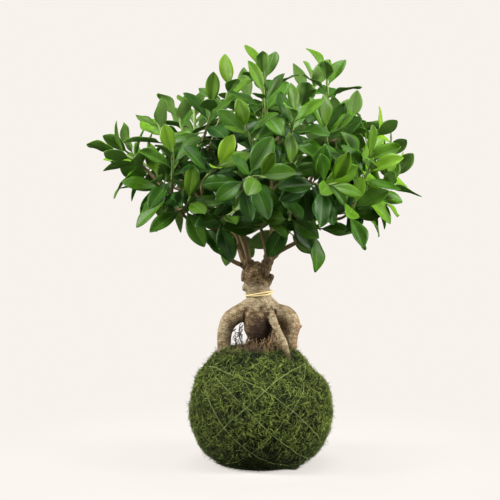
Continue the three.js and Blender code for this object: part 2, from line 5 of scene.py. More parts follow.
import bpy
import numpy as np
from bpy.props import FloatProperty, FloatVectorProperty, IntProperty, PointerProperty
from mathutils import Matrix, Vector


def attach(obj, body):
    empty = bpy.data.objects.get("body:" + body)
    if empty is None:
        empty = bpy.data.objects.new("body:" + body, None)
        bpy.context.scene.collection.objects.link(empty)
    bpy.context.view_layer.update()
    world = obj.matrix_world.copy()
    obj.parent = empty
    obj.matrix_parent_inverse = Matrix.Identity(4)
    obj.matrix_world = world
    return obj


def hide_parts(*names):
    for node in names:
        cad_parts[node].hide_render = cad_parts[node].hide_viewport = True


bl_info = {
    "name": "Kokedama plant",
    "version": (1, 0, 0),
    "blender": (4, 5, 0),
    "location": "3D View > Sidebar > Kokedama",
    "description": "Moss, thread, raffia, bark and leaves of a ginseng fig on a moss ball",
    "category": "Add Mesh",
}

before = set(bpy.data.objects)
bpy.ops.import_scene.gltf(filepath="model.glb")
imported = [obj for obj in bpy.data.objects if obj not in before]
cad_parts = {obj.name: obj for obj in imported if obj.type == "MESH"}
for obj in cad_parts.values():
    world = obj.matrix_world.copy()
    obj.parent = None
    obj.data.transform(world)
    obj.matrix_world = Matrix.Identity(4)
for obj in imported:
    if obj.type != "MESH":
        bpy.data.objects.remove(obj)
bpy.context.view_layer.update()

# The shape functions work in millimetres, as the part's source does, and meshes are made in metres
MM = 0.001
UP = np.array([0.0, 0.0, 1.0])

# Moss ball and soil, as in the part's source: the outline as (radius, height) from the flat spot up
MOSS_OUTLINE = [(38, 0), (46.5, 6), (54, 11.5), (60.5, 19), (65.5, 28.5), (69.8, 42), (71, 57), (68.6, 73),
                (63, 86), (52.5, 98), (45, 108), (37, 115.3)]
BALL_RADIUS = 71.0
BALL_CENTRE = np.array([0.0, 0.0, 57.5])
INNER_RADIUS = 60.5
MOSS_UNDER = 7.0
MOSS_LIP = (31.0, 116.0)
MOUTH_RADIUS = 29.0
SOIL_TOP = 115.0
LEAN = -3.5
LEAN_HEIGHTS = (78.0, 94.0)

# The pile: how deep its felt lies, one strand of how many stands in the tufts round the roots, and how much
# denser the strands stand at the mouth
FELT_DEPTH = 1.4
TUFT_SHARE = 28
MOUTH_WEIGHT = 2.0

# Where the roots stand in the moss: x, y and the radius there
ROOT_FEET = np.array([[-34, -3, 6.4], [33.4, -3, 6.6], [29.5, -27, 3.2], [-2, 35, 5.6], [19, 28, 4.6]])

# Rootlets: the boxes in which they start under the left root, under the right one and as litter in front of
# the bulb, as spans of x, y and z, and how far each kind strays sideways
ROOTLET_BOXES = (((-29, -17), (-9, 3), (130, 143)), ((9, 19), (-24, -13), (122, 140)),
                 ((-30, 20), (-27, -6), (117, 123)))
ROOTLET_STRAY = (4, 3, 9)

# Thread turns as (steepness, heading) in degrees, the last of them one that the solids leave out, and the
# tilts of the raffia's two strands
THREAD_TURNS = ((49, 323), (43, 158), (49, 200), (44, 356), (41, 32))
TIE_CENTRE = np.array([-2.0, 0.0, 172.5])
TIE_CIRCLE = 13.6
TIE_TILTS = ((-5, 4), (-11, -5))
RAFFIA_THICKNESS = 0.45

# Wood: every row is a point on the centreline and the radius there
STEM = [
    [-1, -2, 105, 3], [-1, -3, 112.5, 3.4], [-1, -4, 120, 5], [-1, -4, 127.5, 12.4], [-1, -4, 135, 15.4],
    [-1, -3.5, 143, 16], [-1, -3, 150.5, 15.3], [-1.5, -2, 158, 14], [-2, -1, 165.5, 12.4],
    [-2.5, 0, 173, 11.8], [-4, 0, 180.5, 12.2], [-4.8, 0, 188, 13], [-5, 0, 195.5, 13.2], [-4.5, 0, 203, 8.5],
]
ROOTS = [
    [[-6, 0, 161, 9.8], [-16, -1, 155, 9], [-27, -2, 149.5, 8.7], [-33.5, -3, 142, 8],
     [-36.5, -4, 131.5, 7.2], [-37.4, -4, 116, 6.5], [-37, -3, 104, 5.6], [-35.5, -2, 92, 3.8]],
    [[4, 0, 161, 10.2], [14, -1, 154, 9.4], [24, -2, 150, 10.2], [29.3, -3, 142, 10.2],
     [28.8, -3, 130.5, 8.4], [30, -3, 116, 6.5], [30, -2, 102, 5.6], [29, 0, 92, 3.8]],
    [[4, -8, 165, 5.5], [8, -14, 156, 4.6], [14, -19, 143, 4], [20, -23, 131, 3.6], [25, -26, 118, 3.3],
     [27, -27, 106, 2.8], [28, -27, 96, 2]],
    [[-3, 5, 163, 8.5], [-3, 17, 156, 7.6], [-4, 28, 146, 7], [-5, 34, 131, 6.2], [-6, 36, 115, 5.7],
     [-6, 35, 100, 4.6], [-5, 34, 91, 3]],
    [[5, 8, 161, 7.5], [10, 17, 155, 6.6], [14, 24, 146, 5.8], [15.5, 28, 133, 5.2], [15.5, 29, 117, 4.6],
     [15, 28, 101, 3.6], [14, 27, 92, 2.4]],
]
STUBS = [
    [[-9.5, -3, 192, 5.5], [-12.5, -3, 206, 4]],
    [[5, -2, 182, 5], [11.5, -2, 191, 2.4]],
    [[-11, -2, 178, 5], [-18.4, -3, 179, 3.2]],
    [[-12, -1, 186, 5], [-19.4, -2, 187.5, 2.8]],
    [[34, -3, 142, 3.4], [41, -4, 139, 1]],
]

# The crown: each limb's centreline, and its shoots as (share along the limb, tip x, y, z, leaves, seed of its
# random numbers)
CROWN = {
    "left_low": (
        [[-11, -2, 196, 2.8], [-19, -4, 201, 2.3], [-27, -7, 205, 2.1], [-40, -13, 214, 1.9],
         [-52, -18, 225, 1.8], [-67, -24, 243, 1.7], [-80, -27, 257, 1.6], [-94, -26, 276, 1.5],
         [-105, -22, 289, 1.4]],
        [(1, -143, -13, 315, 8, 6257), (0.77, -100, -56, 292, 7, 2143), (0.72, -69, -78, 271, 7, 9131),
         (0.5, -50, -43, 260, 6, 3094), (0.8, -84, -84, 315, 7, 5798)],
    ),
    "left_main": (
        [[-10, 1, 194, 4], [-17, 2, 205, 3.2], [-22, 4, 220, 2.9], [-27, 7, 233, 2.7], [-38, 10, 253, 2.5],
         [-54, 12, 278, 2.2], [-66, 12, 300, 2], [-73, 10, 318, 1.7]],
        [(1, -82, 14, 348, 6, 2121), (0.9, -47, -47, 360, 8, 462), (0.82, -31, -13, 379, 8, 5285),
         (0.86, -68, 52, 353, 7, 4673), (0.7, -135, 26, 313, 8, 3390)],
    ),
    "left_front": (
        [[-22, 4, 218, 2.2], [-34, -14, 229, 2], [-50, -38, 245, 1.8], [-56, -56, 264, 1.6],
         [-57, -68, 278, 1.4]],
        [(1, -38, -101, 304, 7, 6590), (0.7, -29, -85, 258, 6, 9161), (0.85, -100, -31, 341, 6, 2514)],
    ),
    "front": (
        [[-11, -6, 198, 2.8], [-13, -16, 214, 2.3], [-17, -36, 236, 2.1], [-20, -58, 258, 1.9],
         [-20, -76, 276, 1.6]],
        [(1, 0, -134, 295, 8, 8959), (0.45, 10, -64, 254, 4, 7253), (0.75, 29, -96, 303, 6, 2219)],
    ),
    "centre": (
        [[6, 0, 206, 2.2], [4, 1, 219, 1.8], [1, 3, 233, 1.7], [-1, 4, 246, 1.7], [0, 5, 272, 1.7],
         [3, 5, 312, 1.5], [5, 4, 345, 1.4]],
        [(1, 2, -4, 396, 8, 566), (0.85, 2, -62, 372, 8, 5708), (0.8, 56, 60, 381, 8, 6146),
         (0.72, -14, -89, 339, 8, 6042)],
    ),
    "right_main": (
        [[3, 0, 194, 4.8], [5.5, 0, 204, 4], [8, -1, 215, 3.7], [16, -4, 225, 3.6], [24, -7, 236, 3.4],
         [31, -9, 245, 3.3], [45, -10, 255, 3], [57, -8, 266, 2.7], [63, -5, 284, 2.4], [65, -5, 310, 2.1],
         [66, -8, 335, 1.8]],
        [(1, 64, -20, 390, 8, 1831), (0.93, 94, 55, 347, 8, 894), (0.82, 120, 10, 333, 8, 3245),
         (0.74, 104, -70, 312, 8, 2857), (0.9, 62, -63, 337, 8, 292)],
    ),
    "centre_right": (
        [[31, -9, 245, 2.6], [30, -20, 264, 2], [30, -38, 287, 1.8], [29, -56, 306, 1.6],
         [28, -68, 318, 1.4]],
        [(1, 32, -99, 353, 8, 1023), (0.72, 66, -122, 288, 8, 1912), (0.3, 26, -84, 252, 6, 707)],
    ),
    "right_low": (
        [[7, 3, 195, 3.2], [11, 4, 205, 2.6], [18, 2, 214, 2.3], [33, -6, 223, 1.9], [43, -14, 231, 1.8],
         [58, -22, 243, 1.7], [82, -30, 259, 1.6], [99, -32, 270, 1.4]],
        [(1, 135, -18, 293, 8, 1197), (0.86, 123, -51, 289, 8, 1973), (0.72, 87, -98, 267, 6, 8438),
         (0.5, 58, -44, 247, 5, 6105), (0.42, 39, -62, 256, 4, 11), (0.8, 103, -96, 306, 7, 9502)],
    ),
    "back_left": (
        [[-9, 7, 194, 3.6], [-18, 20, 215, 2.9], [-30, 38, 239, 2.5], [-46, 56, 264, 2.1],
         [-58, 64, 290, 1.8]],
        [(1, -66, 103, 337, 7, 8969), (0.8, -129, 86, 294, 7, 7031), (0.72, -25, 117, 277, 7, 237),
         (0.6, -77, 100, 257, 5, 1454), (0.45, -25, 92, 235, 6, 4366), (0.7, -113, 44, 280, 7, 3732)],
    ),
    "back": (
        [[2, 7, 194, 3.4], [9, 20, 215, 2.7], [12, 42, 248, 2.3], [10, 58, 292, 1.8], [9, 64, 325, 1.5]],
        [(1, -16, 94, 366, 7, 2264), (0.9, 39, 115, 354, 7, 3896), (0.65, 5, 130, 317, 7, 6255)],
    ),
    "back_right": (
        [[5, 7, 194, 3.6], [13, 22, 215, 2.9], [28, 42, 240, 2.5], [46, 56, 266, 2.1], [54, 62, 292, 1.8]],
        [(1, 79, 103, 336, 7, 633), (0.82, 136, 78, 311, 7, 5721), (0.65, 107, 39, 256, 7, 3912),
         (0.72, 51, 108, 277, 6, 638), (0.45, 31, 77, 230, 5, 1111)],
    ),
}

# How a shoot sets its leaves, with the same numbers and the same seeded draws as in the part's source
TWIG_SAG = 0.16
TWIG_CARRY = 0.45
TIP_RADIUS = 1.05
FOOT_RADIUS = 1.7
BUD_LENGTH = 9.0
FIRST_LEAF = 3.0
LEAF_STEP = 4.6
SPIRAL_TURN = 137.5
SPIRAL_SPREAD = 20.0
PITCH_YOUNG = 30.0
PITCH_OLD = 80.0
PITCH_SPREAD = 14.0
PITCH_LEAST = 24.0
AXIS_REFERENCE = np.array([0.6, 0.64, -0.48])
LEAF_LENGTH = 42.0
LENGTH_RANGE = (0.88, 1.08)
YOUNGEST_SHARE = 0.8
GROWING_RATE = 1.8
WIDTH_SHARE = 0.44
WIDTH_RANGE = (0.9, 1.1)
ARCH_RANGE = (0.08, 0.24)
PETIOLE_SHARE = 0.15
PETIOLE_WIDTH = 0.04
WIDEST_SHIFT = 1.15
BLADE_FULLNESS = 0.72
LEAF_FOLD = 0.22
UPWARD_PULL = 0.3
WEIGHT_PULL = 0.6
CROWN_CENTRE = np.array([-5.0, 0.0, 265.0])
STEMWARD = 0.8
SKYWARD = 0.5
OUTWARD = 0.6
LEAF_CLEARANCE = 4.4
SIBLING_CLEARANCE = 2.4
WOOD_CLEARANCE = 2.6
NEIGHBOUR_RANGE = 48.0
SWINGS = (0, 15, -15, 30, -30, 45, -45)
LIFTS = (0, 12, -12, 24)
SAMPLE_T = np.array([0.17, 0.28, 0.4, 0.52, 0.64, 0.76, 0.88, 1])
SAMPLE_V = np.array([-1, -0.5, 0, 0.5, 1])
LIMB_SAMPLES = 40
TWIG_SAMPLES = 30
DRAW_FACTOR = 16807
DRAW_RANGE = 2147483647
NO_SHOOT = -1
NUDGE = 1e-4

# Leaves that the solids leave out: older ones further down the twigs, down to a height over the floor,
# which may stand a little closer to the others
INNER_LEAVES = 5
INNER_EASE = 0.7
INNER_HEIGHT = 272.0
BARE_FOOT = 10.0

# Shoots whose youngest leaves have only just opened and are still yellow-green
FLUSHING = {
    "left_low_shoot_1": 1.0, "left_front_shoot_1": 0.8, "right_low_shoot_6": 0.9, "left_main_shoot_3": 0.5,
    "centre_shoot_1": 0.2, "right_main_shoot_3": 0.7, "right_low_shoot_1": 0.5, "left_main_shoot_5": 0.6,
}
USUAL_FRESHNESS = 0.15

# Drawn leaves: how thick a stalk is, where the blade has its whole thickness, and the count and slant of the
# side veins
STALK_RADIUS = 0.62
BLADE_START = 0.28
VEINS = 13.0
VEIN_SLANT = 2.6

# How finely the pieces are drawn, as steps along them and sides round them. The wood's are those of the stem,
# the roots, the stubs and the limbs. A leaf has shares of its length and of its half width instead, and a
# twig's steps are coarse before the length that carries the leaves.
WOOD_STEPS = (90, 70, 12, 70)
WOOD_SIDES = (40, 28, 20, 16)
OUTLINE_STEPS, LIP_STEPS, INSIDE_STEPS, FELT_SIDES = 70, 4, 24, 160
STRAND_SIDES = 3
ROOTLET_STEPS, ROOTLET_SIDES = 14, 5
THREAD_STEPS, THREAD_SIDES = 260, 6
RAFFIA_STEPS, RAFFIA_SIDES = 120, 10
TWIG_STEPS, TWIG_SIDES = 44, 8
COARSE_STEPS = 12
LEAFY_LENGTH = 42
FLOOR_SIDES, DOME_SIDES = 96, 64
DOME_STEPS = 24
SPLINE_STEPS = 200
LEAF_T = np.array([0, 0.07, 0.14, 0.175, 0.22, 0.29, 0.37, 0.46, 0.55, 0.64, 0.73, 0.81, 0.88, 0.935, 0.975,
                   0.995])
LEAF_V = np.array([-1, -0.66, -0.25, 0, 0.25, 0.66, 1])

# What the random draws of the moss, of the soil and of each limb's leaves start from
MOSS_SEED = 7
SOIL_SEED = 21
LEAF_SEED = 300

# Lamps, each with its place and width in metres and its colour
LIGHTS = {
    "left": ((-1.7, -0.4, 1.1), 0.7, (1.0, 0.99, 0.97)),
    "right": ((1.6, -0.6, 0.85), 0.8, (1.0, 0.99, 0.97)),
    "top": ((0.1, 0.1, 1.9), 0.6, (1.0, 1.0, 0.99)),
    "front": ((0.35, -1.8, 0.2), 1.0, (1.0, 0.99, 0.97)),
}
LIGHT_AIM = (0.0, 0.0, 0.22)

# The camera, as the photograph was taken
CAMERA_PLACE = (-0.011, -1.700, 0.364)
CAMERA_AIM = (-0.011, 0.0, 0.216)
CAMERA_LENS = 122.8
CLIP_END = 50

# The floor's rings, the backdrop's dome and the angle at which it starts, and the rays that both are hidden
# from, so that the light comes from the lamps alone
FLOOR_RADII = (4200, 2000, 1000, 700, 500, 250, 100)
DOME_RADIUS = 6000.0
DOME_FOOT = -0.1
HIDDEN_FROM = ("diffuse", "glossy", "transmission", "volume_scatter", "shadow")

# Factors that mix the place of a lattice corner and a seed into one random number, and how far the lattice is
# moved so that its corners are counted from above 0
NOISE_FACTORS = np.array([73856093, 19349663, 83492791])
NOISE_SEED = 2654435761
NOISE_MIX = 1274126177
NOISE_SHIFT = 500.0


# Arrays of points

def unit(vectors):
    """Vectors of length one in the same directions."""
    return vectors / np.linalg.norm(vectors, axis=-1, keepdims=True)


def smooth(low, high, values):
    """From 0 below low to 1 above high, along an S-shaped curve."""
    share = np.clip((values - low) / (high - low), 0, 1)
    return share * share * (3 - 2 * share)


def noise(points, size, seed):
    """Smooth random heights from -1 to 1: one random number at each corner of a cubic lattice whose cells
    have the given size, blended between the eight corners by S-shaped curves."""
    cell = np.asarray(points, float) / np.asarray(size, float) + NOISE_SHIFT
    corner = np.floor(cell).astype(np.int64)
    part = cell - corner
    ease = part * part * (3 - 2 * part)
    total = np.zeros(cell.shape[:-1])
    for offset in np.ndindex(2, 2, 2):
        mixed = np.bitwise_xor.reduce((corner + offset) * NOISE_FACTORS, axis=-1) ^ (seed * NOISE_SEED)
        mixed = ((mixed ^ (mixed >> 13)) * NOISE_MIX) & 0x7FFFFFFF
        height = ((mixed ^ (mixed >> 15)) & 0xFFFF) / 32767.5 - 1
        total += height * np.prod(np.where(np.array(offset) == 1, ease, 1 - ease), axis=-1)
    return total


def circle_at(angles):
    """Points of a level circle of radius 1: the cosine and sine of each angle, at height 0."""
    return np.stack([np.cos(angles), np.sin(angles), 0 * angles], -1)


def circle_points(sides):
    """Points evenly round the level circle of radius 1."""
    return circle_at(np.arange(sides) * 2 * np.pi / sides)


def spline_point(points, t):
    """A point of the smooth curve through the given points, at t from 0 to 1: a cubic between each two whose
    slopes are half the way between their neighbours. Past both ends a mirrored point is added."""
    points = np.asarray(points, float)
    full = np.concatenate([[2 * points[0] - points[1]], points, [2 * points[-1] - points[-2]]])
    at = np.asarray(t, float) * (len(points) - 1)
    index = np.minimum(np.floor(at).astype(int), len(points) - 2)
    w = (at - index)[..., None]
    before, one, two, after = (full[index + k] for k in range(4))
    slope_one, slope_two = 0.5 * (two - before), 0.5 * (after - one)
    return (one + slope_one * w + (3 * (two - one) - 2 * slope_one - slope_two) * w ** 2
            + (2 * (one - two) + slope_one + slope_two) * w ** 3)


def spline_even(points, share):
    """Points at even shares of the smooth curve's length, measured over many straight steps."""
    t = np.linspace(0, 1, SPLINE_STEPS + 1)
    run = np.concatenate([[0], np.cumsum(np.linalg.norm(np.diff(spline_point(points, t), axis=0), axis=1))])
    return spline_point(points, np.interp(np.asarray(share) * run[-1], run, t))


def path_rings(path, radii, sides):
    """Circles carried along a path: each point plus its radius times the cosine of an angle along one square
    direction and times the sine along the other. The first square direction is the path's own crossed with
    the one in which the whole path spreads least, and the second completes the three."""
    ahead = unit(np.gradient(path, axis=0))
    flat = np.linalg.svd(path - path.mean(0), full_matrices=False)[2][2]
    side = unit(np.cross(ahead, flat))
    circle = circle_points(sides)
    across = side[:, None] * circle[:, :1] + np.cross(ahead, side)[:, None] * circle[:, 1:2]
    return path[:, None] + np.asarray(radii)[:, None, None] * across


def tube_faces(count, rings, sides):
    """Faces of tubes whose points are numbered tube by tube and ring by ring, with one last point at each
    tube's tip: quads between rings, a flat cap on the first ring and a fan from the last ring to the tip."""
    start = np.arange(count)[:, None, None] * (rings * sides + 1)
    ring = np.arange(rings - 1)[None, :, None] * sides
    one = np.arange(sides)[None, None, :]
    two = (one + 1) % sides
    quads = np.stack(np.broadcast_arrays(
        start + ring + one, start + ring + two, start + ring + sides + two, start + ring + sides + one), -1)
    caps = (start + one[..., ::-1])[:, 0]
    last = start + (rings - 1) * sides
    tip = start + rings * sides
    fans = np.stack(np.broadcast_arrays(last + one, last + two, tip), -1)
    return [quads.reshape(-1, 4), caps, fans.reshape(-1, 3)]


def tube_points(rings, tips):
    """Points of many tubes, numbered as tube_faces numbers them, from rings and tips."""
    count = len(rings)
    return np.concatenate([rings.reshape(count, -1, 3), tips[:, None]], axis=1).reshape(-1, 3)


def tube_values(numbers, sides):
    """One number for each point of many tubes, from a row for each tube, which holds one for every ring and
    one for the tip."""
    return np.concatenate([np.repeat(numbers[:, :-1], sides, axis=1), numbers[:, -1:]], axis=1).ravel()


def loop_faces(rings, sides):
    """Quads of a tube that closes on itself, with the last ring joined to the first."""
    ring = np.arange(rings)[:, None] * sides
    after = np.roll(ring, -1)
    one = np.arange(sides)[None]
    two = (one + 1) % sides
    quads = np.stack(np.broadcast_arrays(ring + one, ring + two, after + two, after + one), -1)
    return quads.reshape(-1, 4)


def lathe_rings(profile, segments):
    """Points of a turned form: each profile point's radius times the points of a circle, at its height."""
    profile = np.asarray(profile, float)
    return profile[:, None, :1] * circle_points(segments) + profile[:, None, 1:] * UP


def gathered(parts):
    """The points and faces of several parts as those of one, with the faces numbered on."""
    first = np.cumsum([0] + [len(points) for points, _ in parts])
    faces = [block + start for (_, blocks), start in zip(parts, first) for block in blocks]
    return np.concatenate([points for points, _ in parts]), faces


# Meshes and pieces

def add_values(mesh, values):
    """Gives each point of a mesh its named numbers."""
    for label, numbers in values.items():
        layer = mesh.attributes.new(label, "FLOAT", "POINT")
        layer.data.foreach_set("value", np.asarray(numbers, np.float32).ravel())


def make_mesh(name, points, faces, values=None, uv=None):
    """A mesh in metres from points in millimetres and arrays of faces, with named numbers on its points and
    one place on the texture plane for each point."""
    mesh = bpy.data.meshes.new(name)
    mesh.vertices.add(len(points))
    mesh.vertices.foreach_set("co", (np.asarray(points) * MM).astype(np.float32).ravel())
    faces = [np.asarray(block) for block in faces if len(block)]
    corners = np.concatenate([block.ravel() for block in faces]).astype(np.int32)
    sizes = np.concatenate([np.full(len(block), block.shape[1]) for block in faces])
    mesh.loops.add(len(corners))
    mesh.loops.foreach_set("vertex_index", corners)
    mesh.polygons.add(len(sizes))
    mesh.polygons.foreach_set("loop_start", np.concatenate([[0], np.cumsum(sizes)[:-1]]).astype(np.int32))
    mesh.polygons.foreach_set("use_smooth", np.ones(len(sizes), bool))
    mesh.update(calc_edges=True)
    add_values(mesh, values or {})
    if uv is not None:
        layer = mesh.uv_layers.new(name="UVMap")
        layer.uv.foreach_set("vector", np.asarray(uv, np.float32)[corners].ravel())
    if mesh.validate():
        raise RuntimeError(f"the mesh {name} had faces that can't be drawn")
    return mesh


def tube_mesh(name, rings, tips, along):
    """A mesh of many tubes from their rings and tips, with named numbers for each ring and tip."""
    count, steps, sides, _ = rings.shape
    values = {label: tube_values(numbers, sides) for label, numbers in along.items()}
    return make_mesh(name, tube_points(rings, tips), tube_faces(count, steps, sides), values)


def add_object(name, data):
    """A new object in the scene, at the origin."""
    thing = bpy.data.objects.new(name, data)
    bpy.context.scene.collection.objects.link(thing)
    return thing


def add_piece(mesh, material, replaced=()):
    """An object named after its mesh that rides with the plant and stands for the nodes that it replaces."""
    piece = add_object(mesh.name, mesh)
    piece.data.materials.append(material)
    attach(piece, "root")
    if replaced:
        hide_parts(*replaced)


# Materials

# The sockets of a Mix node for colours, which share their names with others: its share and its two colours
# among the inputs, and its colour among the outputs
MIX_SHARE, MIX_ONE, MIX_TWO, MIX_RESULT = 0, 6, 7, 2


class Number:
    """A number that changes over a surface. Sums and products of such numbers add Math nodes."""

    def __init__(self, paint, socket):
        self.paint = paint
        self.socket = socket

    def __add__(self, other):
        return self.paint.math("ADD", self, other)

    __radd__ = __add__

    def __sub__(self, other):
        return self.paint.math("SUBTRACT", self, other)

    def __rsub__(self, other):
        return self.paint.math("SUBTRACT", other, self)

    def __mul__(self, other):
        return self.paint.math("MULTIPLY", self, other)

    __rmul__ = __mul__


class Paint:
    """A material's node tree, with one method that adds any node."""

    def __init__(self, name):
        self.material = bpy.data.materials.new(name)
        self.material.use_nodes = True
        self.tree = self.material.node_tree
        self.tree.nodes.clear()
        self.shader = self.tree.nodes.new("ShaderNodeBsdfPrincipled")
        self.end = self.tree.nodes.new("ShaderNodeOutputMaterial")
        self.tree.links.new(self.shader.outputs["BSDF"], self.end.inputs["Surface"])

    def set(self, socket, value):
        """Links a socket to a number, colour or vector of another node, or gives it a constant."""
        if isinstance(value, Number):
            self.tree.links.new(value.socket, socket)
        elif socket.type == "RGBA" and len(value) == 3:
            socket.default_value = (*value, 1.0)
        else:
            socket.default_value = value

    def node(self, kind, options=None, inputs=None, output=0):
        """Adds a node, sets its options and then its sockets, and gives one of its outputs."""
        node = self.tree.nodes.new(kind)
        for key, value in (options or {}).items():
            setattr(node, key, value)
        for key, value in (inputs or {}).items():
            self.set(node.inputs[key], value)
        return Number(self, node.outputs[output])

    def math(self, operation, *values):
        """One number from one or two others."""
        return self.node("ShaderNodeMath", {"operation": operation}, dict(enumerate(values)))

    def clamp(self, value):
        """The value held between 0 and 1."""
        return self.node("ShaderNodeClamp", {}, {"Value": value})

    def step(self, value, low, high):
        """From 0 where the value is low to 1 where it is high, along an S-shaped curve."""
        return self.node("ShaderNodeMapRange", {"interpolation_type": "SMOOTHSTEP"},
                         {"Value": value, "From Min": low, "From Max": high})

    def mix(self, share, one, two):
        """Colour one where the share is 0 and colour two where it is 1."""
        sockets = {MIX_SHARE: share, MIX_ONE: one, MIX_TWO: two}
        return self.node("ShaderNodeMix", {"data_type": "RGBA"}, sockets, output=MIX_RESULT)

    def coats(self, colour, *coats):
        """A colour with coats laid over it in order, each of them a share and its colour."""
        for share, coat in coats:
            colour = self.mix(share, colour, coat)
        return colour

    def place(self, scale=(1.0, 1.0, 1.0)):
        """Object coordinates in millimetres, stretched by the scale."""
        where = self.node("ShaderNodeTexCoord", output="Object")
        return self.node("ShaderNodeVectorMath", {"operation": "MULTIPLY"},
                         {0: where, 1: tuple(axis / MM for axis in scale)})

    def noise(self, place, size, detail=3.0, roughness=0.55):
        """Smooth noise from 0 to 1 whose features have about the given size."""
        return self.node("ShaderNodeTexNoise", {"noise_dimensions": "3D"},
                         {"Vector": place, "Scale": 1.0 / size, "Detail": detail, "Roughness": roughness})

    def cells(self, place, size):
        """The distance to the nearest of many scattered points, about the given size apart."""
        return self.node("ShaderNodeTexVoronoi", {"feature": "F1"}, {"Vector": place, "Scale": 1.0 / size})

    def attribute(self, name):
        """One of the named numbers that the mesh carries on its points."""
        return self.node("ShaderNodeAttribute", {"attribute_name": name}, output="Fac")

    def surface(self, colour, roughness, **constants):
        """Gives the surface its colour, its roughness and constants for other sockets."""
        self.set(self.shader.inputs["Base Color"], colour)
        self.set(self.shader.inputs["Roughness"], roughness)
        for key, value in constants.items():
            self.shader.inputs[key.replace("_", " ")].default_value = value

    def bump(self, height, depth):
        """Raises the surface by the height, which runs from 0 to 1, times the depth in millimetres."""
        normal = self.node("ShaderNodeBump", {}, {"Height": height, "Distance": depth * MM, "Strength": 1.0})
        self.set(self.shader.inputs["Normal"], normal)


def moss_material(moss):
    """Strands whose tone changes from one to the next, with painted shade deep in the pile
    and towards the foot of the ball."""
    paint = Paint("Moss")
    tone = paint.attribute("tone")
    depth = paint.attribute("depth")
    place = paint.place()
    patch = paint.noise(place, 12.0, 3.0)
    height = paint.node("ShaderNodeSeparateXYZ", {}, {0: place}, output="Z")
    colour = paint.coats(
        moss.colour,
        (paint.clamp(tone * 0.95 + (patch - 0.55) * 0.6), moss.light_colour),
        # Painted shade: the moss darkens towards the foot of the ball
        (paint.step(height + patch * 30.0, 62.0, 22.0) * 0.65, moss.shaded_foot_colour),
        # Painted shade deep in the pile, and over the whole felt under the strands
        (paint.step(depth, 0.95, 0.15), moss.shaded_pile_colour),
    )
    paint.surface(colour, 0.7, Specular_IOR_Level=0.2)
    return paint.material


def soil_material(soil):
    """Dark crumbs with paler grit among them."""
    paint = Paint("Moist soil")
    place = paint.place()
    grain = paint.noise(place, 2.2, 6.0, 0.65)
    grit = paint.cells(place, 1.6)
    colour = paint.mix(paint.step(grain, 0.35, 0.7), soil.colour, soil.grit_colour)
    paint.surface(colour, 0.92, Specular_IOR_Level=0.2)
    paint.bump(grain - grit * 0.4, 0.8)
    return paint.material


def bark_material(wood):
    """Smooth grey-beige bark with short level wrinkles and pale pores, browner on the stump and low on the
    roots, with painted shade in its furrows and on the foot of the bulb and the left root's inner side."""
    paint = Paint("Fig bark")
    place = paint.place()
    level = paint.noise(paint.place((0.35, 0.35, 1.5)), 1.6, 4.0, 0.6)
    patch = paint.noise(place, 7.0, 4.0, 0.6)
    speck = paint.noise(place, 1.3, 3.0, 0.6)
    crack = paint.noise(paint.place((1.0, 1.0, 0.35)), 2.6, 4.0, 0.65)
    furrow, old, young, dark, ruddy = map(paint.attribute, ("furrow", "old", "young", "dark", "ruddy"))
    rough = paint.clamp(old + dark + ruddy * 0.5)
    colour = paint.coats(
        wood.colour,
        (paint.step(patch, 0.38, 0.58), wood.light_colour),
        (paint.clamp(ruddy * (patch + 0.5)), wood.ruddy_colour),
        (paint.step(old * 0.8 + (patch - 0.5) * 3.0, 0.2, 0.9), wood.stump_colour),
        (paint.step(level, 0.50, 0.60) * paint.clamp(old * 0.3 + 0.5), wood.furrow_colour),
        (paint.step(speck, 0.54, 0.64) * 0.38, wood.pore_colour),
        (paint.step(speck, 0.47, 0.36) * paint.clamp(old * 0.4 + 0.5), wood.furrow_colour),
        (paint.step(crack, 0.47, 0.40) * rough * 0.8, wood.crack_and_shade_colour),
        # Painted shade in the furrows and hollows, and the bark darker low on the roots
        (paint.clamp(furrow + (patch - 0.5) * 0.8), wood.furrow_colour),
        (young, wood.twig_colour),
        # Painted shade on the foot of the bulb and the left root's inner side, and the bark darker down by
        # the moss
        (paint.clamp(dark), wood.crack_and_shade_colour),
    )
    paint.surface(colour, 0.66 + level * 0.2, Specular_IOR_Level=0.2)
    paint.bump(level * 0.5 + speck * 0.5 + crack * rough * 1.4, 0.8)
    return paint.material


def fibre_material(name, colour, light_colour, roughness, along=14.0):
    """Fine fibres that run along a thread or a strip, with paler ones among them."""
    paint = Paint(name)
    uv = paint.node("ShaderNodeTexCoord", output="UV")
    drawn = paint.node("ShaderNodeVectorMath", {"operation": "MULTIPLY"}, {0: uv, 1: (along, 6.0, 1.0)})
    fibre = paint.noise(drawn, 1.0, 4.0, 0.7)
    paint.surface(paint.mix(paint.step(fibre, 0.3, 0.7), colour, light_colour), roughness)
    paint.bump(fibre, 0.12)
    return paint.material


def rootlet_material(soil):
    """Dried rootlets, each with a tone of its own from nearly black to straw."""
    paint = Paint("Rootlets")
    speck = paint.noise(paint.place(), 1.4, 3.0)
    colour = paint.mix(paint.attribute("tone"), soil.rootlet_colour, soil.straw_colour)
    paint.surface(paint.mix(speck * 0.5, colour, soil.colour), 0.8)
    return paint.material


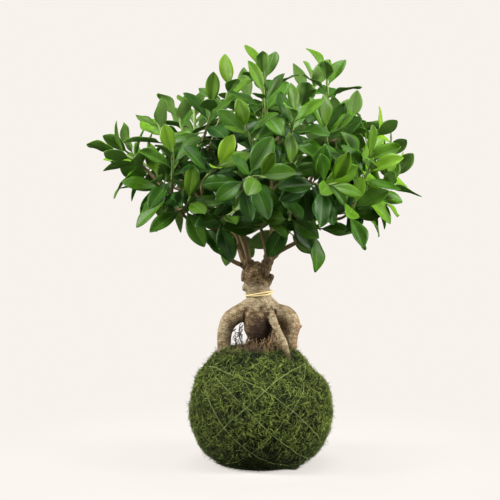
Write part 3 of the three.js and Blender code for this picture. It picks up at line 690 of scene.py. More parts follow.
def leaf_material(leaf):
    """A glossy blade: dark green that pales as the leaf is younger and is lighter at random and by painted
    light towards the outside of the crown, a light midrib and thin side veins that run forward to the edge,
    and a dull grey-green underside."""
    paint = Paint("Fig leaf")
    uv = paint.node("ShaderNodeTexCoord", output="UV")
    u, v = (paint.node("ShaderNodeSeparateXYZ", {}, {0: uv}, output=axis) for axis in "XY")
    age, chance, under = map(paint.attribute, ("age", "chance", "under"))
    out = paint.math("ABSOLUTE", v * 2.0 - 1.0)
    rib = paint.step(out + u * 0.03, 0.08, 0.02)
    stripe = paint.math("FRACT", u * VEINS - out * VEIN_SLANT + chance * 3.0)
    vein = paint.step(paint.math("ABSOLUTE", stripe - 0.5), 0.07, 0.0) * paint.step(out, 1.0, 0.8)
    patch = paint.noise(paint.place(), 7.0, 2.0)
    # Each leaf's random lightness, with painted light towards the outside of the crown
    light = paint.clamp(chance * chance * 1.1 + (patch - 0.5) * 0.5)
    colour = paint.coats(
        leaf.colour,
        (light, leaf.light_colour),
        (paint.step(light, 0.7, 1.2) * 0.5, leaf.young_colour),
        (paint.clamp(1.0 - age), leaf.young_colour),
        (vein * 0.16, leaf.rib_colour),
        (rib * 0.3, leaf.rib_colour),
        (under * 0.85, leaf.under_colour),
    )
    paint.surface(colour, 0.36 + under * 0.2 + patch * 0.14, Specular_IOR_Level=0.18,
                  Subsurface_Weight=0.2, Subsurface_Radius=(0.5, 1.0, 0.1), Subsurface_Scale=0.0012)
    paint.bump(1.0 - rib * 0.6 - vein * 0.35 + patch * 0.3, 0.22)
    return paint.material


def twig_material(leaf, wood):
    """Green shoots that turn to brown bark towards their foot."""
    paint = Paint("Green twig")
    along = paint.attribute("age")
    speck = paint.noise(paint.place(), 1.2, 3.0)
    colour = paint.mix(paint.clamp(along * 1.3 + (speck - 0.5) * 0.4), leaf.stalk_colour, wood.twig_colour)
    paint.surface(colour, 0.55)
    paint.bump(speck, 0.12)
    return paint.material


# Settings that a user would change

def colour_property(name, description, default):
    """A colour, as shares of linear red, green and blue."""
    return FloatVectorProperty(name=name, description=description, default=default, size=3, min=0, max=1,
                               subtype="COLOR")


def length_property(name, description, default):
    """A length in metres."""
    return FloatProperty(name=name, description=description, default=default, min=0, unit="LENGTH")


def power_property(name, description, default):
    """A lamp's power in watts."""
    return FloatProperty(name=name, description=description, default=default, unit="POWER")


def count_property(name, description, default, least):
    """A whole number that isn't below the least."""
    return IntProperty(name=name, description=description, default=default, min=least)


class MossSettings(bpy.types.PropertyGroup):
    """Sizes and colours of the moss."""
    strands: count_property("Strands", "How many strands cover the ball", 76000, 1000)
    light_share: FloatProperty(name="Light strands", description="Share of light strands, which lie on top",
                               default=0.2, min=0.01, max=0.99)
    length: length_property("Strand length", "How long a usual strand is", 0.0050)
    width: length_property("Strand width", "How wide a strand is near its root", 0.00060)
    colour: colour_property("Green", "Colour of most strands", (0.007, 0.017, 0.0015))
    light_colour: colour_property("Light green", "Colour of the palest strands", (0.37, 0.49, 0.090))
    # Painted shade towards the foot of the ball
    shaded_foot_colour: colour_property("Shaded foot green", "Colour near the foot of the ball", (0.019, 0.033, 0.015))
    # Painted shade deep in the pile and on the felt
    shaded_pile_colour: colour_property("Shaded green", "Colour deep in the pile", (0.003, 0.005, 0.001))


class SoilSettings(bpy.types.PropertyGroup):
    """Sizes and colours of the soil and the rootlets on it."""
    crumbs: count_property("Crumbs", "How many crumbs lie on the soil", 420, 0)
    rootlets: count_property("Rootlets", "How many rootlets hang to the soil", 200, 1)
    colour: colour_property("Soil", "Colour of moist soil", (0.020, 0.011, 0.006))
    grit_colour: colour_property("Grit", "Colour of the paler grains", (0.13, 0.070, 0.034))
    rootlet_colour: colour_property("Rootlet", "Colour of dark rootlets", (0.014, 0.008, 0.006))
    straw_colour: colour_property("Straw", "Colour of dry fibres", (0.42, 0.26, 0.11))


class BindingSettings(bpy.types.PropertyGroup):
    """Sizes and colours of the thread and the raffia."""
    thread_radius: length_property("Thread radius", "Half the thickness of the thread", 0.00022)
    raffia_width: length_property("Raffia half width", "Half the width of a strand of raffia", 0.00085)
    thread_colour: colour_property("Thread", "Colour of the thread", (0.20, 0.30, 0.065))
    thread_light: colour_property("Thread highlight", "Colour of its palest fibres", (0.42, 0.52, 0.18))
    raffia_colour: colour_property("Raffia", "Colour of the raffia", (0.56, 0.39, 0.14))
    raffia_light: colour_property("Raffia highlight", "Colour of its palest fibres", (0.83, 0.68, 0.36))


class WoodSettings(bpy.types.PropertyGroup):
    """Detail and colours of the bark."""
    voxel: length_property("Skin detail", "Size of the cells that join the roots and limbs", 0.00085)
    colour: colour_property("Bark", "Colour of the bark", (0.182, 0.131, 0.065))
    light_colour: colour_property("Light bark", "Colour of its palest patches", (0.375, 0.307, 0.188))
    # Also the colour of the painted shade in the furrows and hollows, besides the real dark wrinkles and
    # specks
    furrow_colour: colour_property("Furrows", "Colour of wrinkles and hollows", (0.075, 0.040, 0.017))
    pore_colour: colour_property("Pores", "Colour of the pale pores", (0.60, 0.50, 0.33))
    ruddy_colour: colour_property("Reddish bark", "Colour of the rough bark of a root", (0.29, 0.165, 0.085))
    # Painted shade under the bulb and on the left root's inner side; also the colour of the dark cracks
    crack_and_shade_colour: colour_property("Shaded bark and cracks", "Colour of the bark under the bulb", (0.020, 0.010, 0.005))
    stump_colour: colour_property("Stump", "Colour of the old wood on the stump", (0.205, 0.135, 0.054))
    twig_colour: colour_property("Limbs", "Colour of the limbs", (0.190, 0.132, 0.062))


class LeafSettings(bpy.types.PropertyGroup):
    """Sizes and colours of the leaves."""
    thickness: length_property("Blade thickness", "How thick a blade is", 0.00042)
    colour: colour_property("Green", "Colour of the darkest leaves", (0.007, 0.042, 0.001))
    light_colour: colour_property("Light green", "Colour of the lightest grown leaves", (0.068, 0.180, 0.002))
    young_colour: colour_property("Young green", "Colour of leaves just opened", (0.165, 0.300, 0.012))
    under_colour: colour_property("Underside", "Colour of the undersides", (0.130, 0.235, 0.050))
    rib_colour: colour_property("Midrib", "Colour of the midrib and veins", (0.22, 0.36, 0.08))
    stalk_colour: colour_property("Stalks", "Colour of stalks and green twigs", (0.17, 0.26, 0.06))


class StageSettings(bpy.types.PropertyGroup):
    """The floor and the light."""
    backdrop_colour: colour_property("Backdrop", "Colour of the backdrop", (0.938, 0.888, 0.847))
    floor_colour: colour_property("Floor", "Colour of the floor, which once lit looks like the backdrop",
                                  (0.60, 0.57, 0.54))
    left_power: power_property("Left light", "Power of the light on the left", 78)
    right_power: power_property("Right light", "Power of the light on the right", 70)
    top_power: power_property("Top light", "Power of the light overhead", 39)
    front_power: power_property("Front light", "Power of the low light in front", 6)
    ambient: FloatProperty(name="Ambient", description="Strength of the light from all sides", default=0.095)


SETTINGS = {"moss": MossSettings, "soil": SoilSettings, "binding": BindingSettings, "wood": WoodSettings,
            "leaf": LeafSettings, "stage": StageSettings}


def settings(context, name):
    """The scene's group of settings with this name."""
    return getattr(context.scene, "kokedama_" + name)


# Moss

def moss_profile():
    """The outside of the moss from the edge of its flat spot over its widest place to its lip, as a smooth
    curve through the outline, and then the inside down to the middle of its floor, as an arc round the
    ball's centre."""
    outside = spline_even(MOSS_OUTLINE, np.linspace(0, 1, OUTLINE_STEPS))
    share = np.linspace(0, 1, LIP_STEPS + 1)[1:, None]
    lip = outside[-1] + (np.array(MOSS_LIP) - outside[-1]) * share
    low = -math.asin((BALL_CENTRE[2] - MOSS_UNDER) / INNER_RADIUS)
    angle = np.linspace(math.acos(MOUTH_RADIUS / INNER_RADIUS), low, INSIDE_STEPS)
    inside = circle_at(angle)[:, :2] * INNER_RADIUS + [0, BALL_CENTRE[2]]
    return np.concatenate([outside, lip]), inside


def moss_lumps(points):
    """How far the pile swells at each point: broad lumps, smaller ones and tufts."""
    return 0.6 * noise(points, 17, 1) + 0.7 * noise(points, 7, 2) + 0.7 * noise(points, 2.6, 6)


def leaned(points):
    """The points moved sideways by their height, because the ball's shoulders lean to the left."""
    points = points.copy()
    points[..., 0] += LEAN * smooth(*LEAN_HEIGHTS, points[..., 2])
    return points


def moss_body():
    """The felt that the strands grow from: the turned profile, drawn in a little and swollen by the lumps."""
    outside, inside = moss_profile()
    rings = lathe_rings(np.concatenate([outside, inside]), FELT_SIDES)
    share = np.append(smooth(0, 9, outside[:, 1]), np.zeros(len(inside)))
    swell = share[:, None] * (moss_lumps(rings) - FELT_DEPTH)
    rings = rings + unit(rings - BALL_CENTRE) * swell[..., None]
    points = leaned(tube_points(rings[None], np.array([[0, 0, MOSS_UNDER]])))
    # A depth of 0 gives the felt the full painted shade of the deep pile
    values = {"depth": np.zeros(len(points)), "tone": 0.1 + 0.1 * noise(points, 3, 3)}
    return points, tube_faces(1, *rings.shape[:2]), values


def strand_places(count, random):
    """Points spread evenly over the outside of the moss, as the profile turned by random angles, with the
    direction out of the pile there."""
    mouth = [[MOUTH_RADIUS + 0.5, MOSS_LIP[1] - 2.5], [MOUTH_RADIUS - 1, SOIL_TOP]]
    outside = np.concatenate([moss_profile()[0], mouth])
    piece = np.diff(outside, axis=0)
    area = np.linalg.norm(piece, axis=1) * (outside[:-1, 0] + outside[1:, 0])
    area[-2:] *= MOUTH_WEIGHT
    total = np.concatenate([[0], np.cumsum(area)])
    drawn = random.random(count) * total[-1]
    index = np.clip(np.searchsorted(total, drawn, side="right") - 1, 0, len(piece) - 1)
    share = (drawn - total[index]) / area[index]
    radius, height = (outside[index] + piece[index] * share[:, None]).T
    slope = unit(piece[index])
    spoke = circle_at(random.random(count) * 2 * np.pi)
    point = spoke * radius[:, None] + UP * height[:, None]
    out = spoke * slope[:, 1:] - UP * slope[:, :1]
    return point, unit(out)


def tuft_places(count, random):
    """Points close round the feet of the roots that stand in the moss, at the outline's height there."""
    foot = ROOT_FEET[random.integers(0, len(ROOT_FEET), count)]
    spoke = circle_at(random.random(count) * 2 * np.pi)
    away = foot[:, 2] + random.uniform(0.2, 4.0, count)
    flat = foot[:, :2] + spoke[:, :2] * away[:, None]
    outside = moss_profile()[0]
    height = np.interp(np.hypot(*flat.T), outside[::-1, 0], outside[::-1, 1])
    return np.column_stack([flat, np.minimum(height, SOIL_TOP)]), unit(spoke + 2 * UP)


def strand_rings(path, side, out, wide, random):
    """Three-sided rings round the points of every strand but its tip, each strand turned at random: the
    cosine of an angle to the side, and 0.7 times the sine out of the pile. They stay above the floor."""
    turn = np.arange(STRAND_SIDES) * 2 * np.pi / STRAND_SIDES + random.random((len(path), 1)) * 2 * np.pi
    across = side[:, None] * np.cos(turn)[..., None] + 0.7 * out[:, None] * np.sin(turn)[..., None]
    rings = path[:, :-1, None] + wide[..., None, None] * across[:, None]
    rings[..., 2] = np.maximum(rings[..., 2], 0.15)
    return rings


def moss_strands(moss, count, light, random):
    """Three-sided strands, either the dark short ones of the pile, which are straight, or the light longer
    ones that lie on it. Each runs along the pile in a direction of its own and thins out to a point. A light
    one also bends sideways, rises and comes down again by a parabola. All follow the ball's curve. Some
    strays stand up at the tip, more so where noise makes a tuft, and so do the tufts round the roots."""
    tufts = count // TUFT_SHARE
    root, out = map(np.concatenate, zip(strand_places(count - tufts, random), tuft_places(tufts, random)))
    around = unit(np.cross(UP, out) + 1e-9)
    upward = np.cross(out, around)
    angle = 2.4 * np.pi * noise(root, 26, 4) + random.normal(0, 2.0, count)
    ahead = around * np.cos(angle)[:, None] + upward * np.sin(angle)[:, None]
    side = np.cross(out, ahead)
    length = moss.length / MM * random.uniform(0.5, 1.5, count) * (1.1 if light else 0.9)
    sunk = random.uniform(-0.4, 1.3, count) if light else random.uniform(-2.4, 0.8, count)
    stray = np.where(random.random(count) < (0.5 if light else 0.3), random.uniform(1.0, 4.2, count), 0)
    rim = smooth(MOUTH_RADIUS + 18, MOUTH_RADIUS + 7, np.hypot(*root[:, :2].T)) * (root[:, 2] > BALL_RADIUS)
    tufted = smooth(0.1, 0.7, noise(root, 3.2, 6)) + rim * (noise(root, 2.5, 8) > 0.1)
    stray = stray * (0.5 + 1.3 * tufted)
    stray = np.where(np.arange(count) >= count - tufts, random.uniform(2.5, 7.0, count), stray)
    rise = random.uniform(0.2, 1.6, count)
    bend = random.normal(0, 0.12, count) * length
    curl = random.normal(0, 0.04, count) * length
    share = np.linspace(0, 1, 4 if light else 2)
    lift = (sunk + moss_lumps(root) - 0.3)[:, None] + rise[:, None] * 4 * share * (1 - share)
    lift = lift + stray[:, None] * share ** 2 - (length[:, None] * share) ** 2 / (2 * BALL_RADIUS)
    sideways = bend[:, None] * share ** 2 + curl[:, None] * np.sin(2 * np.pi * share)
    path = (root[:, None] + ahead[:, None] * (length[:, None] * share)[..., None]
            + side[:, None] * sideways[..., None] + out[:, None] * lift[..., None])
    wide = (0.4 if light else 0.5) * moss.width / MM * random.uniform(0.5, 1.4, count)
    rings = strand_rings(path, side, out, wide[:, None] * (1 - 0.3 * share[:-1]), random)
    tips = path[:, -1]
    tips[:, 2] = np.maximum(tips[:, 2], 0.3)
    tone = 0.24 + 0.76 * random.random(count) ** 1.9 if light else random.uniform(0.0, 0.22, count)
    shaded = 1 - 0.7 * rim * smooth(-0.4, 0.3, noise(root, 4, 7))
    tone = np.clip(tone * shaded + 0.15 * noise(root, 9, 5), 0, 1)
    # A low depth gives the strand the painted shade deep in the pile
    depth = np.clip((sunk + 2.4) / 3.4, 0, 1)[:, None] * 0.85 + 0.35 * share
    return leaned(rings), leaned(tips), np.repeat(tone[:, None], len(share), axis=1), depth


class KOKEDAMA_OT_moss(bpy.types.Operator):
    """Cover the soil ball with a felt of moss and thousands of fine strands"""
    bl_idname = "kokedama.moss"
    bl_label = "Moss"

    def execute(self, context):
        moss = settings(context, "moss")
        material = moss_material(moss)
        add_piece(make_mesh("moss_felt", *moss_body()), material, ["moss_cover"])
        random = np.random.default_rng(MOSS_SEED)
        for label, light in (("pile", False), ("strands", True)):
            count = round(moss.strands * (moss.light_share if light else 1 - moss.light_share))
            rings, tips, tone, depth = moss_strands(moss, count, light, random)
            for number, batch in enumerate(np.array_split(np.arange(count), 2), 1):
                values = {"tone": tone[batch], "depth": depth[batch]}
                mesh = tube_mesh(f"moss_{label}_{number}", rings[batch], tips[batch], values)
                add_piece(mesh, material, ["moss_cover"])
        return {"FINISHED"}


# Soil and rootlets

def soil_crust():
    """The lumpy top of the soil between the roots: a turned disc whose top is raised by noise."""
    radius = np.concatenate([np.full(2, 28.0), np.linspace(28.0, 1.2, 26)])
    height = np.concatenate([[SOIL_TOP - 3.0, SOIL_TOP - 1.0], np.full(26, SOIL_TOP)])
    rings = lathe_rings(np.stack([radius, height], -1), 96)
    lumps = 1.0 + 1.3 * noise(rings, 6, 11) + 0.8 * noise(rings, 2.4, 12)
    middle = smooth(34, 12, np.linalg.norm(rings[..., :2], axis=-1))
    rings[2:, :, 2] += (np.maximum(lumps, 0) + 2.2 * middle)[2:]
    tip = np.array([[0, 0, SOIL_TOP + 3.2]])
    return tube_points(rings[None], tip), tube_faces(1, *rings.shape[:2])


def soil_crumbs(soil, random):
    """Small uneven lumps on the crust: stacked rings of five whose radii are drawn at random."""
    count, sides = soil.crumbs, 5
    away = 27 * np.sqrt(random.random(count))
    middle = away[:, None] * circle_at(random.random(count) * 2 * np.pi) + UP * (SOIL_TOP + 1.2)
    middle[:, 2] += 2.2 * smooth(34, 12, away) + random.random(count)
    size = random.uniform(0.4, 1.4, count)
    level = np.array([-0.8, -0.1, 0.6])
    wide = np.array([0.6, 1.0, 0.65])
    reach = size[:, None, None] * wide[:, None] * random.uniform(0.75, 1.25, (count, len(wide), sides))
    rings = middle[:, None, None] + reach[..., None] * circle_points(sides)
    rings[..., 2] += (size[:, None] * level)[..., None]
    return tube_points(rings, middle + UP * size[:, None]), tube_faces(count, len(wide), sides)


def hanging_paths(starts, ends, spread, random):
    """Curves from starts to ends: straight lines pushed aside by a half sine wave and by a faster one, which
    curls them."""
    count = len(starts)
    share = np.linspace(0, 1, ROOTLET_STEPS)[:, None]
    line = starts[:, None] + (ends - starts)[:, None] * share
    push = random.normal(0, 1, (count, 1, 3)) * spread[:, None, None]
    shake = random.normal(0, 1, (count, 1, 3)) * spread[:, None, None] * 0.5
    wave = np.sin(np.pi * share)
    beat = random.uniform(2.0, 5.0, (count, 1, 1)) * np.pi
    fast = np.sin(beat * share + random.random((count, 1, 1)) * 6) * wave
    return line + push * wave + shake * fast


def rootlet_ends(soil, random):
    """Where rootlets start, on the low half of the bulb and under the roots, and where they end in the
    soil, with how far each bends and its tone from dark to straw."""
    arch, right, litter = 10, soil.rootlets // 6, soil.rootlets // 4
    bulb = soil.rootlets - arch - right - litter
    turn = random.random(bulb) * 2 * np.pi
    low = random.uniform(121, 131, bulb)
    wide = np.interp(low, [120, 127.5, 135], [4.5, 11.8, 14.8])
    starts = [wide[:, None] * circle_at(turn) + UP * low[:, None] + [-1, -4, 0]]
    stray = turn + random.normal(0, 0.8, bulb)
    reach = random.uniform(6, 27, bulb)
    ends = [reach[:, None] * circle_at(stray) + [0, -2, SOIL_TOP + 1.5]]
    for number, away, spans in zip((arch, right, litter), ROOTLET_STRAY, ROOTLET_BOXES):
        top = np.stack([random.uniform(*span, number) for span in spans], -1)
        starts.append(top)
        ends.append(top + np.stack([random.normal(0, away, number), random.normal(0, 3, number),
                                    SOIL_TOP - top[:, 2]], -1))
    spread = np.concatenate([random.uniform(0.8, 3.0, bulb), random.uniform(3.0, 6.5, arch),
                             random.uniform(2.0, 4.5, right), random.uniform(1.5, 4.5, litter)])
    tone = np.concatenate([random.random(bulb), random.uniform(0, 0.05, arch),
                           random.uniform(0.4, 1.0, right), random.random(litter) ** 1.5])
    return np.concatenate(starts), np.concatenate(ends), spread, tone


def fibre_tubes(paths, radii):
    """Round tubes along many paths, thinning out to a point at the end."""
    taper = np.linspace(1, 0.55, ROOTLET_STEPS)
    rings = np.stack([path_rings(path, radius * taper, ROOTLET_SIDES) for path, radius in zip(paths, radii)])
    tips = paths[:, -1] + unit(paths[:, -1] - paths[:, -2]) * radii[:, None]
    return rings, tips


class KOKEDAMA_OT_soil(bpy.types.Operator):
    """Roughen the soil that shows between the roots, and hang rootlets over it"""
    bl_idname = "kokedama.soil"
    bl_label = "Soil and rootlets"

    def execute(self, context):
        soil = settings(context, "soil")
        material = soil_material(soil)
        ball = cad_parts["soil_ball"]
        ball.data.materials.clear()
        ball.data.materials.append(material)
        random = np.random.default_rng(SOIL_SEED)
        crust = gathered([soil_crust(), soil_crumbs(soil, random)])
        add_piece(make_mesh("soil_crust", *crust), material)
        starts, ends, spread, tone = rootlet_ends(soil, random)
        paths = hanging_paths(starts, ends, spread, random)
        rings, tips = fibre_tubes(paths, random.uniform(0.3, 0.62, len(paths)) * (1 - 0.55 * tone))
        tone = np.repeat(tone[:, None], ROOTLET_STEPS + 1, axis=1)
        add_piece(tube_mesh("rootlets", rings, tips, {"tone": tone}), rootlet_material(soil))
        return {"FINISHED"}


# Thread and raffia

def moss_reach(way):
    """How far the outside of the moss is from the ball's centre in each direction, read from the outline by
    the direction's upward angle."""
    outline = moss_profile()[0] - [0, BALL_CENTRE[2]]
    upward = np.arctan2(outline[:, 1], outline[:, 0])
    return np.interp(np.arcsin(way[..., 2]), upward, np.hypot(*outline.T))


def tilted_circle(radius, tilts, centre, steps):
    """A circle turned about Y by the first angle and then about X or Z by the second, in degrees."""
    points = radius * circle_points(steps)
    for axis, degrees in tilts:
        c, s = math.cos(math.radians(degrees)), math.sin(math.radians(degrees))
        turn = {"x": [[1, 0, 0], [0, c, -s], [0, s, c]], "y": [[c, 0, s], [0, 1, 0], [-s, 0, c]],
                "z": [[c, -s, 0], [s, c, 0], [0, 0, 1]]}[axis]
        points = points @ np.array(turn).T
    return points + centre


def closed_band(path, centre, wide, thick, sides):
    """An ellipse carried round a closed path, as wide along the path's axis and as thick away from the
    centre as given."""
    ahead = unit(np.roll(path, -1, axis=0) - np.roll(path, 1, axis=0))
    out = unit(path - centre)
    out = unit(out - ahead * np.sum(out * ahead, axis=1, keepdims=True))
    up = np.cross(out, ahead)
    circle = circle_points(sides)
    rings = path[:, None] - up[:, None] * (circle[:, :1] * wide) + out[:, None] * (circle[:, 1:2] * thick)
    uv = np.stack(np.broadcast_arrays(
        np.arange(len(path))[:, None] / len(path), np.arange(sides)[None] / sides), -1)
    return (rings.reshape(-1, 3), [loop_faces(len(path), sides)]), uv.reshape(-1, 2)


def bands_mesh(name, bands):
    """One mesh of several closed bands, with their places on the texture plane."""
    parts, places = zip(*bands)
    return make_mesh(name, *gathered(parts), uv=np.concatenate(places))


def thread_path(tilt, heading):
    """One turn of thread: a tilted circle laid on the moss, which rises, sinks and sways by noise."""
    way = tilted_circle(1.0, (("y", tilt), ("z", heading)), np.zeros(3), THREAD_STEPS)
    path = BALL_CENTRE + way * moss_reach(way)[:, None]
    sway = unit(np.cross(way, np.roll(way, -1, axis=0))) * (0.5 * noise(path, 14, 30))[:, None]
    path += way * (0.7 + 1.2 * noise(path, 9, 31) + 0.4 * noise(path, 3, 32))[:, None] + sway
    return leaned(path)


def raffia_path(number, across, depth):
    """One strand of raffia: a tilted circle round the neck, uneven by noise, each wider than the last."""
    path = tilted_circle(TIE_CIRCLE + 0.25 * number, (("y", across), ("x", depth)), TIE_CENTRE, RAFFIA_STEPS)
    path[:, 2] += 0.25 * noise(path, 5, 33 + number)
    return path


class KOKEDAMA_OT_bindings(bpy.types.Operator):
    """Wind the thin thread round the moss and tie raffia round the neck"""
    bl_idname = "kokedama.bindings"
    bl_label = "Thread and raffia"

    def execute(self, context):
        binding = settings(context, "binding")
        radius = binding.thread_radius / MM
        turns = [closed_band(thread_path(*turn), BALL_CENTRE, radius, radius, THREAD_SIDES)
                 for turn in THREAD_TURNS]
        material = fibre_material("Binding thread", binding.thread_colour, binding.thread_light, 0.6, 90.0)
        add_piece(bands_mesh("wound_thread", turns), material, ["binding_thread"])
        wide = binding.raffia_width / MM
        strands = [closed_band(raffia_path(number, *tilts), TIE_CENTRE, wide, RAFFIA_THICKNESS, RAFFIA_SIDES)
                   for number, tilts in enumerate(TIE_TILTS)]
        material = fibre_material("Raffia", binding.raffia_colour, binding.raffia_light, 0.5)
        add_piece(bands_mesh("raffia_tie", strands), material, ["neck_tie"])
        return {"FINISHED"}


# Wood

def wood_tube(rows, steps, sides):
    """A round tube along the rows' smooth curve, whose radius runs evenly from row to row."""
    rows = np.asarray(rows, float)
    share = np.linspace(0, 1, steps)
    path = spline_even(rows[:, :3], share)
    radii = np.interp(share, np.linspace(0, 1, len(rows)), rows[:, 3])
    tip = path[-1:] + 0.3 * (path[-1:] - path[-2:-1])
    return tube_points(path_rings(path, radii, sides)[None], tip), tube_faces(1, steps, sides)


def joined_skin(tubes, voxel):
    """One continuous skin round all the tubes: their volume in small cells, wrapped and then eased."""
    scratch = add_object("wood_scratch", make_mesh("wood_scratch", *gathered(tubes)))
    remesh = scratch.modifiers.new("Join", "REMESH")
    remesh.mode = "VOXEL"
    remesh.voxel_size = voxel
    ease = scratch.modifiers.new("Ease", "SMOOTH")
    ease.factor = 0.5
    ease.iterations = 3
    bpy.context.view_layer.update()
    whole = bpy.data.meshes.new_from_object(scratch.evaluated_get(bpy.context.evaluated_depsgraph_get()))
    bpy.data.objects.remove(scratch)
    return whole


def bark_relief(points):
    """How far the bark stands out, in millimetres, and how much each point belongs to the painted shade of
    the furrows, the stump, the limbs, the painted shade on the foot of the bulb and the left root's inner
    side, and the reddish side of the right root. Broad swellings and level wrinkles run over the roots,
    upright ones down the bulb, and the stump is knobbly."""
    x, y, z = points.T
    from_axis = np.hypot(x + 1, y + 3)
    stump = smooth(178, 190, z) * smooth(24, 17, from_axis) * smooth(214, 206, z)
    bulb = smooth(158, 146, z) * smooth(17.5, 15.5, from_axis)
    limb = np.maximum(smooth(203, 210, z), smooth(19, 23, from_axis) * smooth(176, 184, z))
    swell = 0.55 * noise(points, 9, 41) + 0.3 * noise(points, 4, 42)
    level = noise(points, (4.5, 4.5, 1.5), 43)
    upright = noise(points, (2.0, 2.0, 11), 44)
    knobs = 1.4 * noise(points, 6, 45) + 1.1 * noise(points, 2.8, 46)
    relief = (1 - limb) * (swell + 0.3 * level * (1 - stump) + 0.3 * bulb * upright) + stump * knobs
    relief += 0.10 * limb * noise(points, 3, 47)
    around = smooth(19.5, 17, from_axis)
    # Painted shade in the creases of the level wrinkles, deeper on the bulb, and between the stump's knobs
    furrow = (1 - limb) * smooth(0.25, -0.6, level) * (0.28 + 0.6 * smooth(166, 156, z) * around)
    furrow += stump * smooth(0.2, -1.2, knobs) * 0.8
    low = smooth(128, 112, z) * (1 - limb)
    ragged = z + 8 * noise(points, 5, 48)
    belly = smooth(160, 150, ragged) * around
    # Painted shade over the bulb's foot, deepest at its lower right, and on the left root's inner side; below
    # the moss's lip the bark also darkens
    dark = 0.36 * belly + 0.6 * smooth(158, 137, ragged - 1.1 * (x + 1)) * belly
    inner = smooth(-37, -31, x + 2 * noise(points, 3, 50)) * smooth(-18, -24, x) * smooth(150, 140, z)
    dark = np.maximum(dark, np.maximum(0.75 * inner, 0.5 * smooth(118, 111, ragged)))
    ruddy = smooth(29, 39, x + 4 * noise(points, 4, 49)) * smooth(150, 138, z) * (1 - limb)
    return {"relief": relief, "furrow": np.clip(furrow + 0.35 * low, 0, 1), "old": np.maximum(stump, belly),
            "young": limb, "dark": dark, "ruddy": ruddy}


class KOKEDAMA_OT_wood(bpy.types.Operator):
    """Grow one skin of bark over the bulb, the roots, the stump and the limbs"""
    bl_idname = "kokedama.wood"
    bl_label = "Trunk and limbs"

    def execute(self, context):
        wood = settings(context, "wood")
        kinds = [STEM], ROOTS, STUBS, [rows for rows, _ in CROWN.values()]
        tubes = [wood_tube(rows, steps, sides)
                 for kind, steps, sides in zip(kinds, WOOD_STEPS, WOOD_SIDES) for rows in kind]
        mesh = joined_skin(tubes, wood.voxel)
        count = len(mesh.vertices)
        points = np.empty(count * 3, np.float32)
        normals = np.empty(count * 3, np.float32)
        mesh.vertices.foreach_get("co", points)
        mesh.vertex_normals.foreach_get("vector", normals)
        points = points.reshape(-1, 3).astype(float) / MM
        values = bark_relief(points)
        points += normals.reshape(-1, 3) * values.pop("relief")[:, None]
        mesh.vertices.foreach_set("co", (points * MM).astype(np.float32).ravel())
        add_values(mesh, values)
        mesh.polygons.foreach_set("use_smooth", np.ones(len(mesh.polygons), bool))
        mesh.update()
        mesh.name = "fig_wood"
        add_piece(mesh, bark_material(wood), ["trunk_and_limbs"])
        return {"FINISHED"}


# Where the shoots and leaves are

def limb_at(rows, t):
    """Points on a limb whose centreline is straight between evenly spaced points of its smooth curve."""
    rows = np.asarray(rows, float)
    knots = spline_even(rows[:, :3], np.linspace(0, 1, len(rows)))
    at = np.asarray(t, float) * (len(rows) - 1)
    return np.stack([np.interp(at, np.arange(len(rows)), knots[:, axis]) for axis in range(3)], -1)


def twig_point(shoot, t):
    """A point of the shoot's twig, a curve with two ends and one bend."""
    t = np.asarray(t, float)[..., None]
    start, bend, tip = shoot["curve"]
    return (1 - t) ** 2 * start + 2 * t * (1 - t) * bend + t ** 2 * tip


def twig_way(shoot, t):
    """The twig's direction, from two points close to each other."""
    low, high = max(t - NUDGE, 0), min(t + NUDGE, 1)
    return unit(twig_point(shoot, high) - twig_point(shoot, low))


def back_point(shoot, back):
    """A point at a distance back from the twig's tip, or past the tip where it is below 0."""
    if back >= 0:
        return twig_point(shoot, 1 - back / shoot["chord"])
    return twig_point(shoot, 1) - back * twig_way(shoot, 1)


def draws_from(seed):
    """Random numbers from 0 to 1: each state is the last one times a factor, less whole ranges."""
    while True:
        seed = (seed * DRAW_FACTOR) % DRAW_RANGE
        yield seed / DRAW_RANGE


def half_width(t):
    """Half the leaf's width at t along it, as a share of its width: a thin stalk, then a sine arch raised to
    a power, skewed so that the blade is widest just past its middle."""
    along = np.clip((t - PETIOLE_SHARE) / (1 - PETIOLE_SHARE), 0, 1)
    blade = 0.5 * np.abs(np.sin(np.pi * along ** WIDEST_SHIFT)) ** BLADE_FULLNESS
    return np.where(t <= PETIOLE_SHARE, PETIOLE_WIDTH, np.maximum(PETIOLE_WIDTH * (1 - along), blade))


def leaf_samples(leaf):
    """Points of the blade: along it, down by the arch times the square, and up from the fold to its edges."""
    t, v = (grid.ravel()[:, None] for grid in np.meshgrid(SAMPLE_T, SAMPLE_V, indexing="ij"))
    half = half_width(t) * leaf["width"]
    return (leaf["root"] + leaf["along"] * leaf["length"] * t
            + leaf["up"] * (-leaf["length"] * leaf["arch"] * t * t + half * np.abs(v) * LEAF_FOLD)
            + np.cross(leaf["along"], leaf["up"]) * half * v)


def set_leaf(root, way, turn, pitch, age, size):
    """A leaf that leaves its twig at a spiral angle and a pitch, is drawn up or down with its age, and faces
    the light."""
    side = unit(np.cross(way, AXIS_REFERENCE))
    turn, pitch = math.radians(turn), math.radians(pitch)
    outward = side * math.cos(turn) + np.cross(way, side) * math.sin(turn)
    along = way * math.cos(pitch) + outward * math.sin(pitch)
    along = unit(along + UP * (UPWARD_PULL - WEIGHT_PULL * age))
    up = unit(root - CROWN_CENTRE) * OUTWARD + way * STEMWARD + UP * SKYWARD
    up = unit(up - along * np.dot(up, along))
    return {"root": root, "along": along, "up": up, **size}


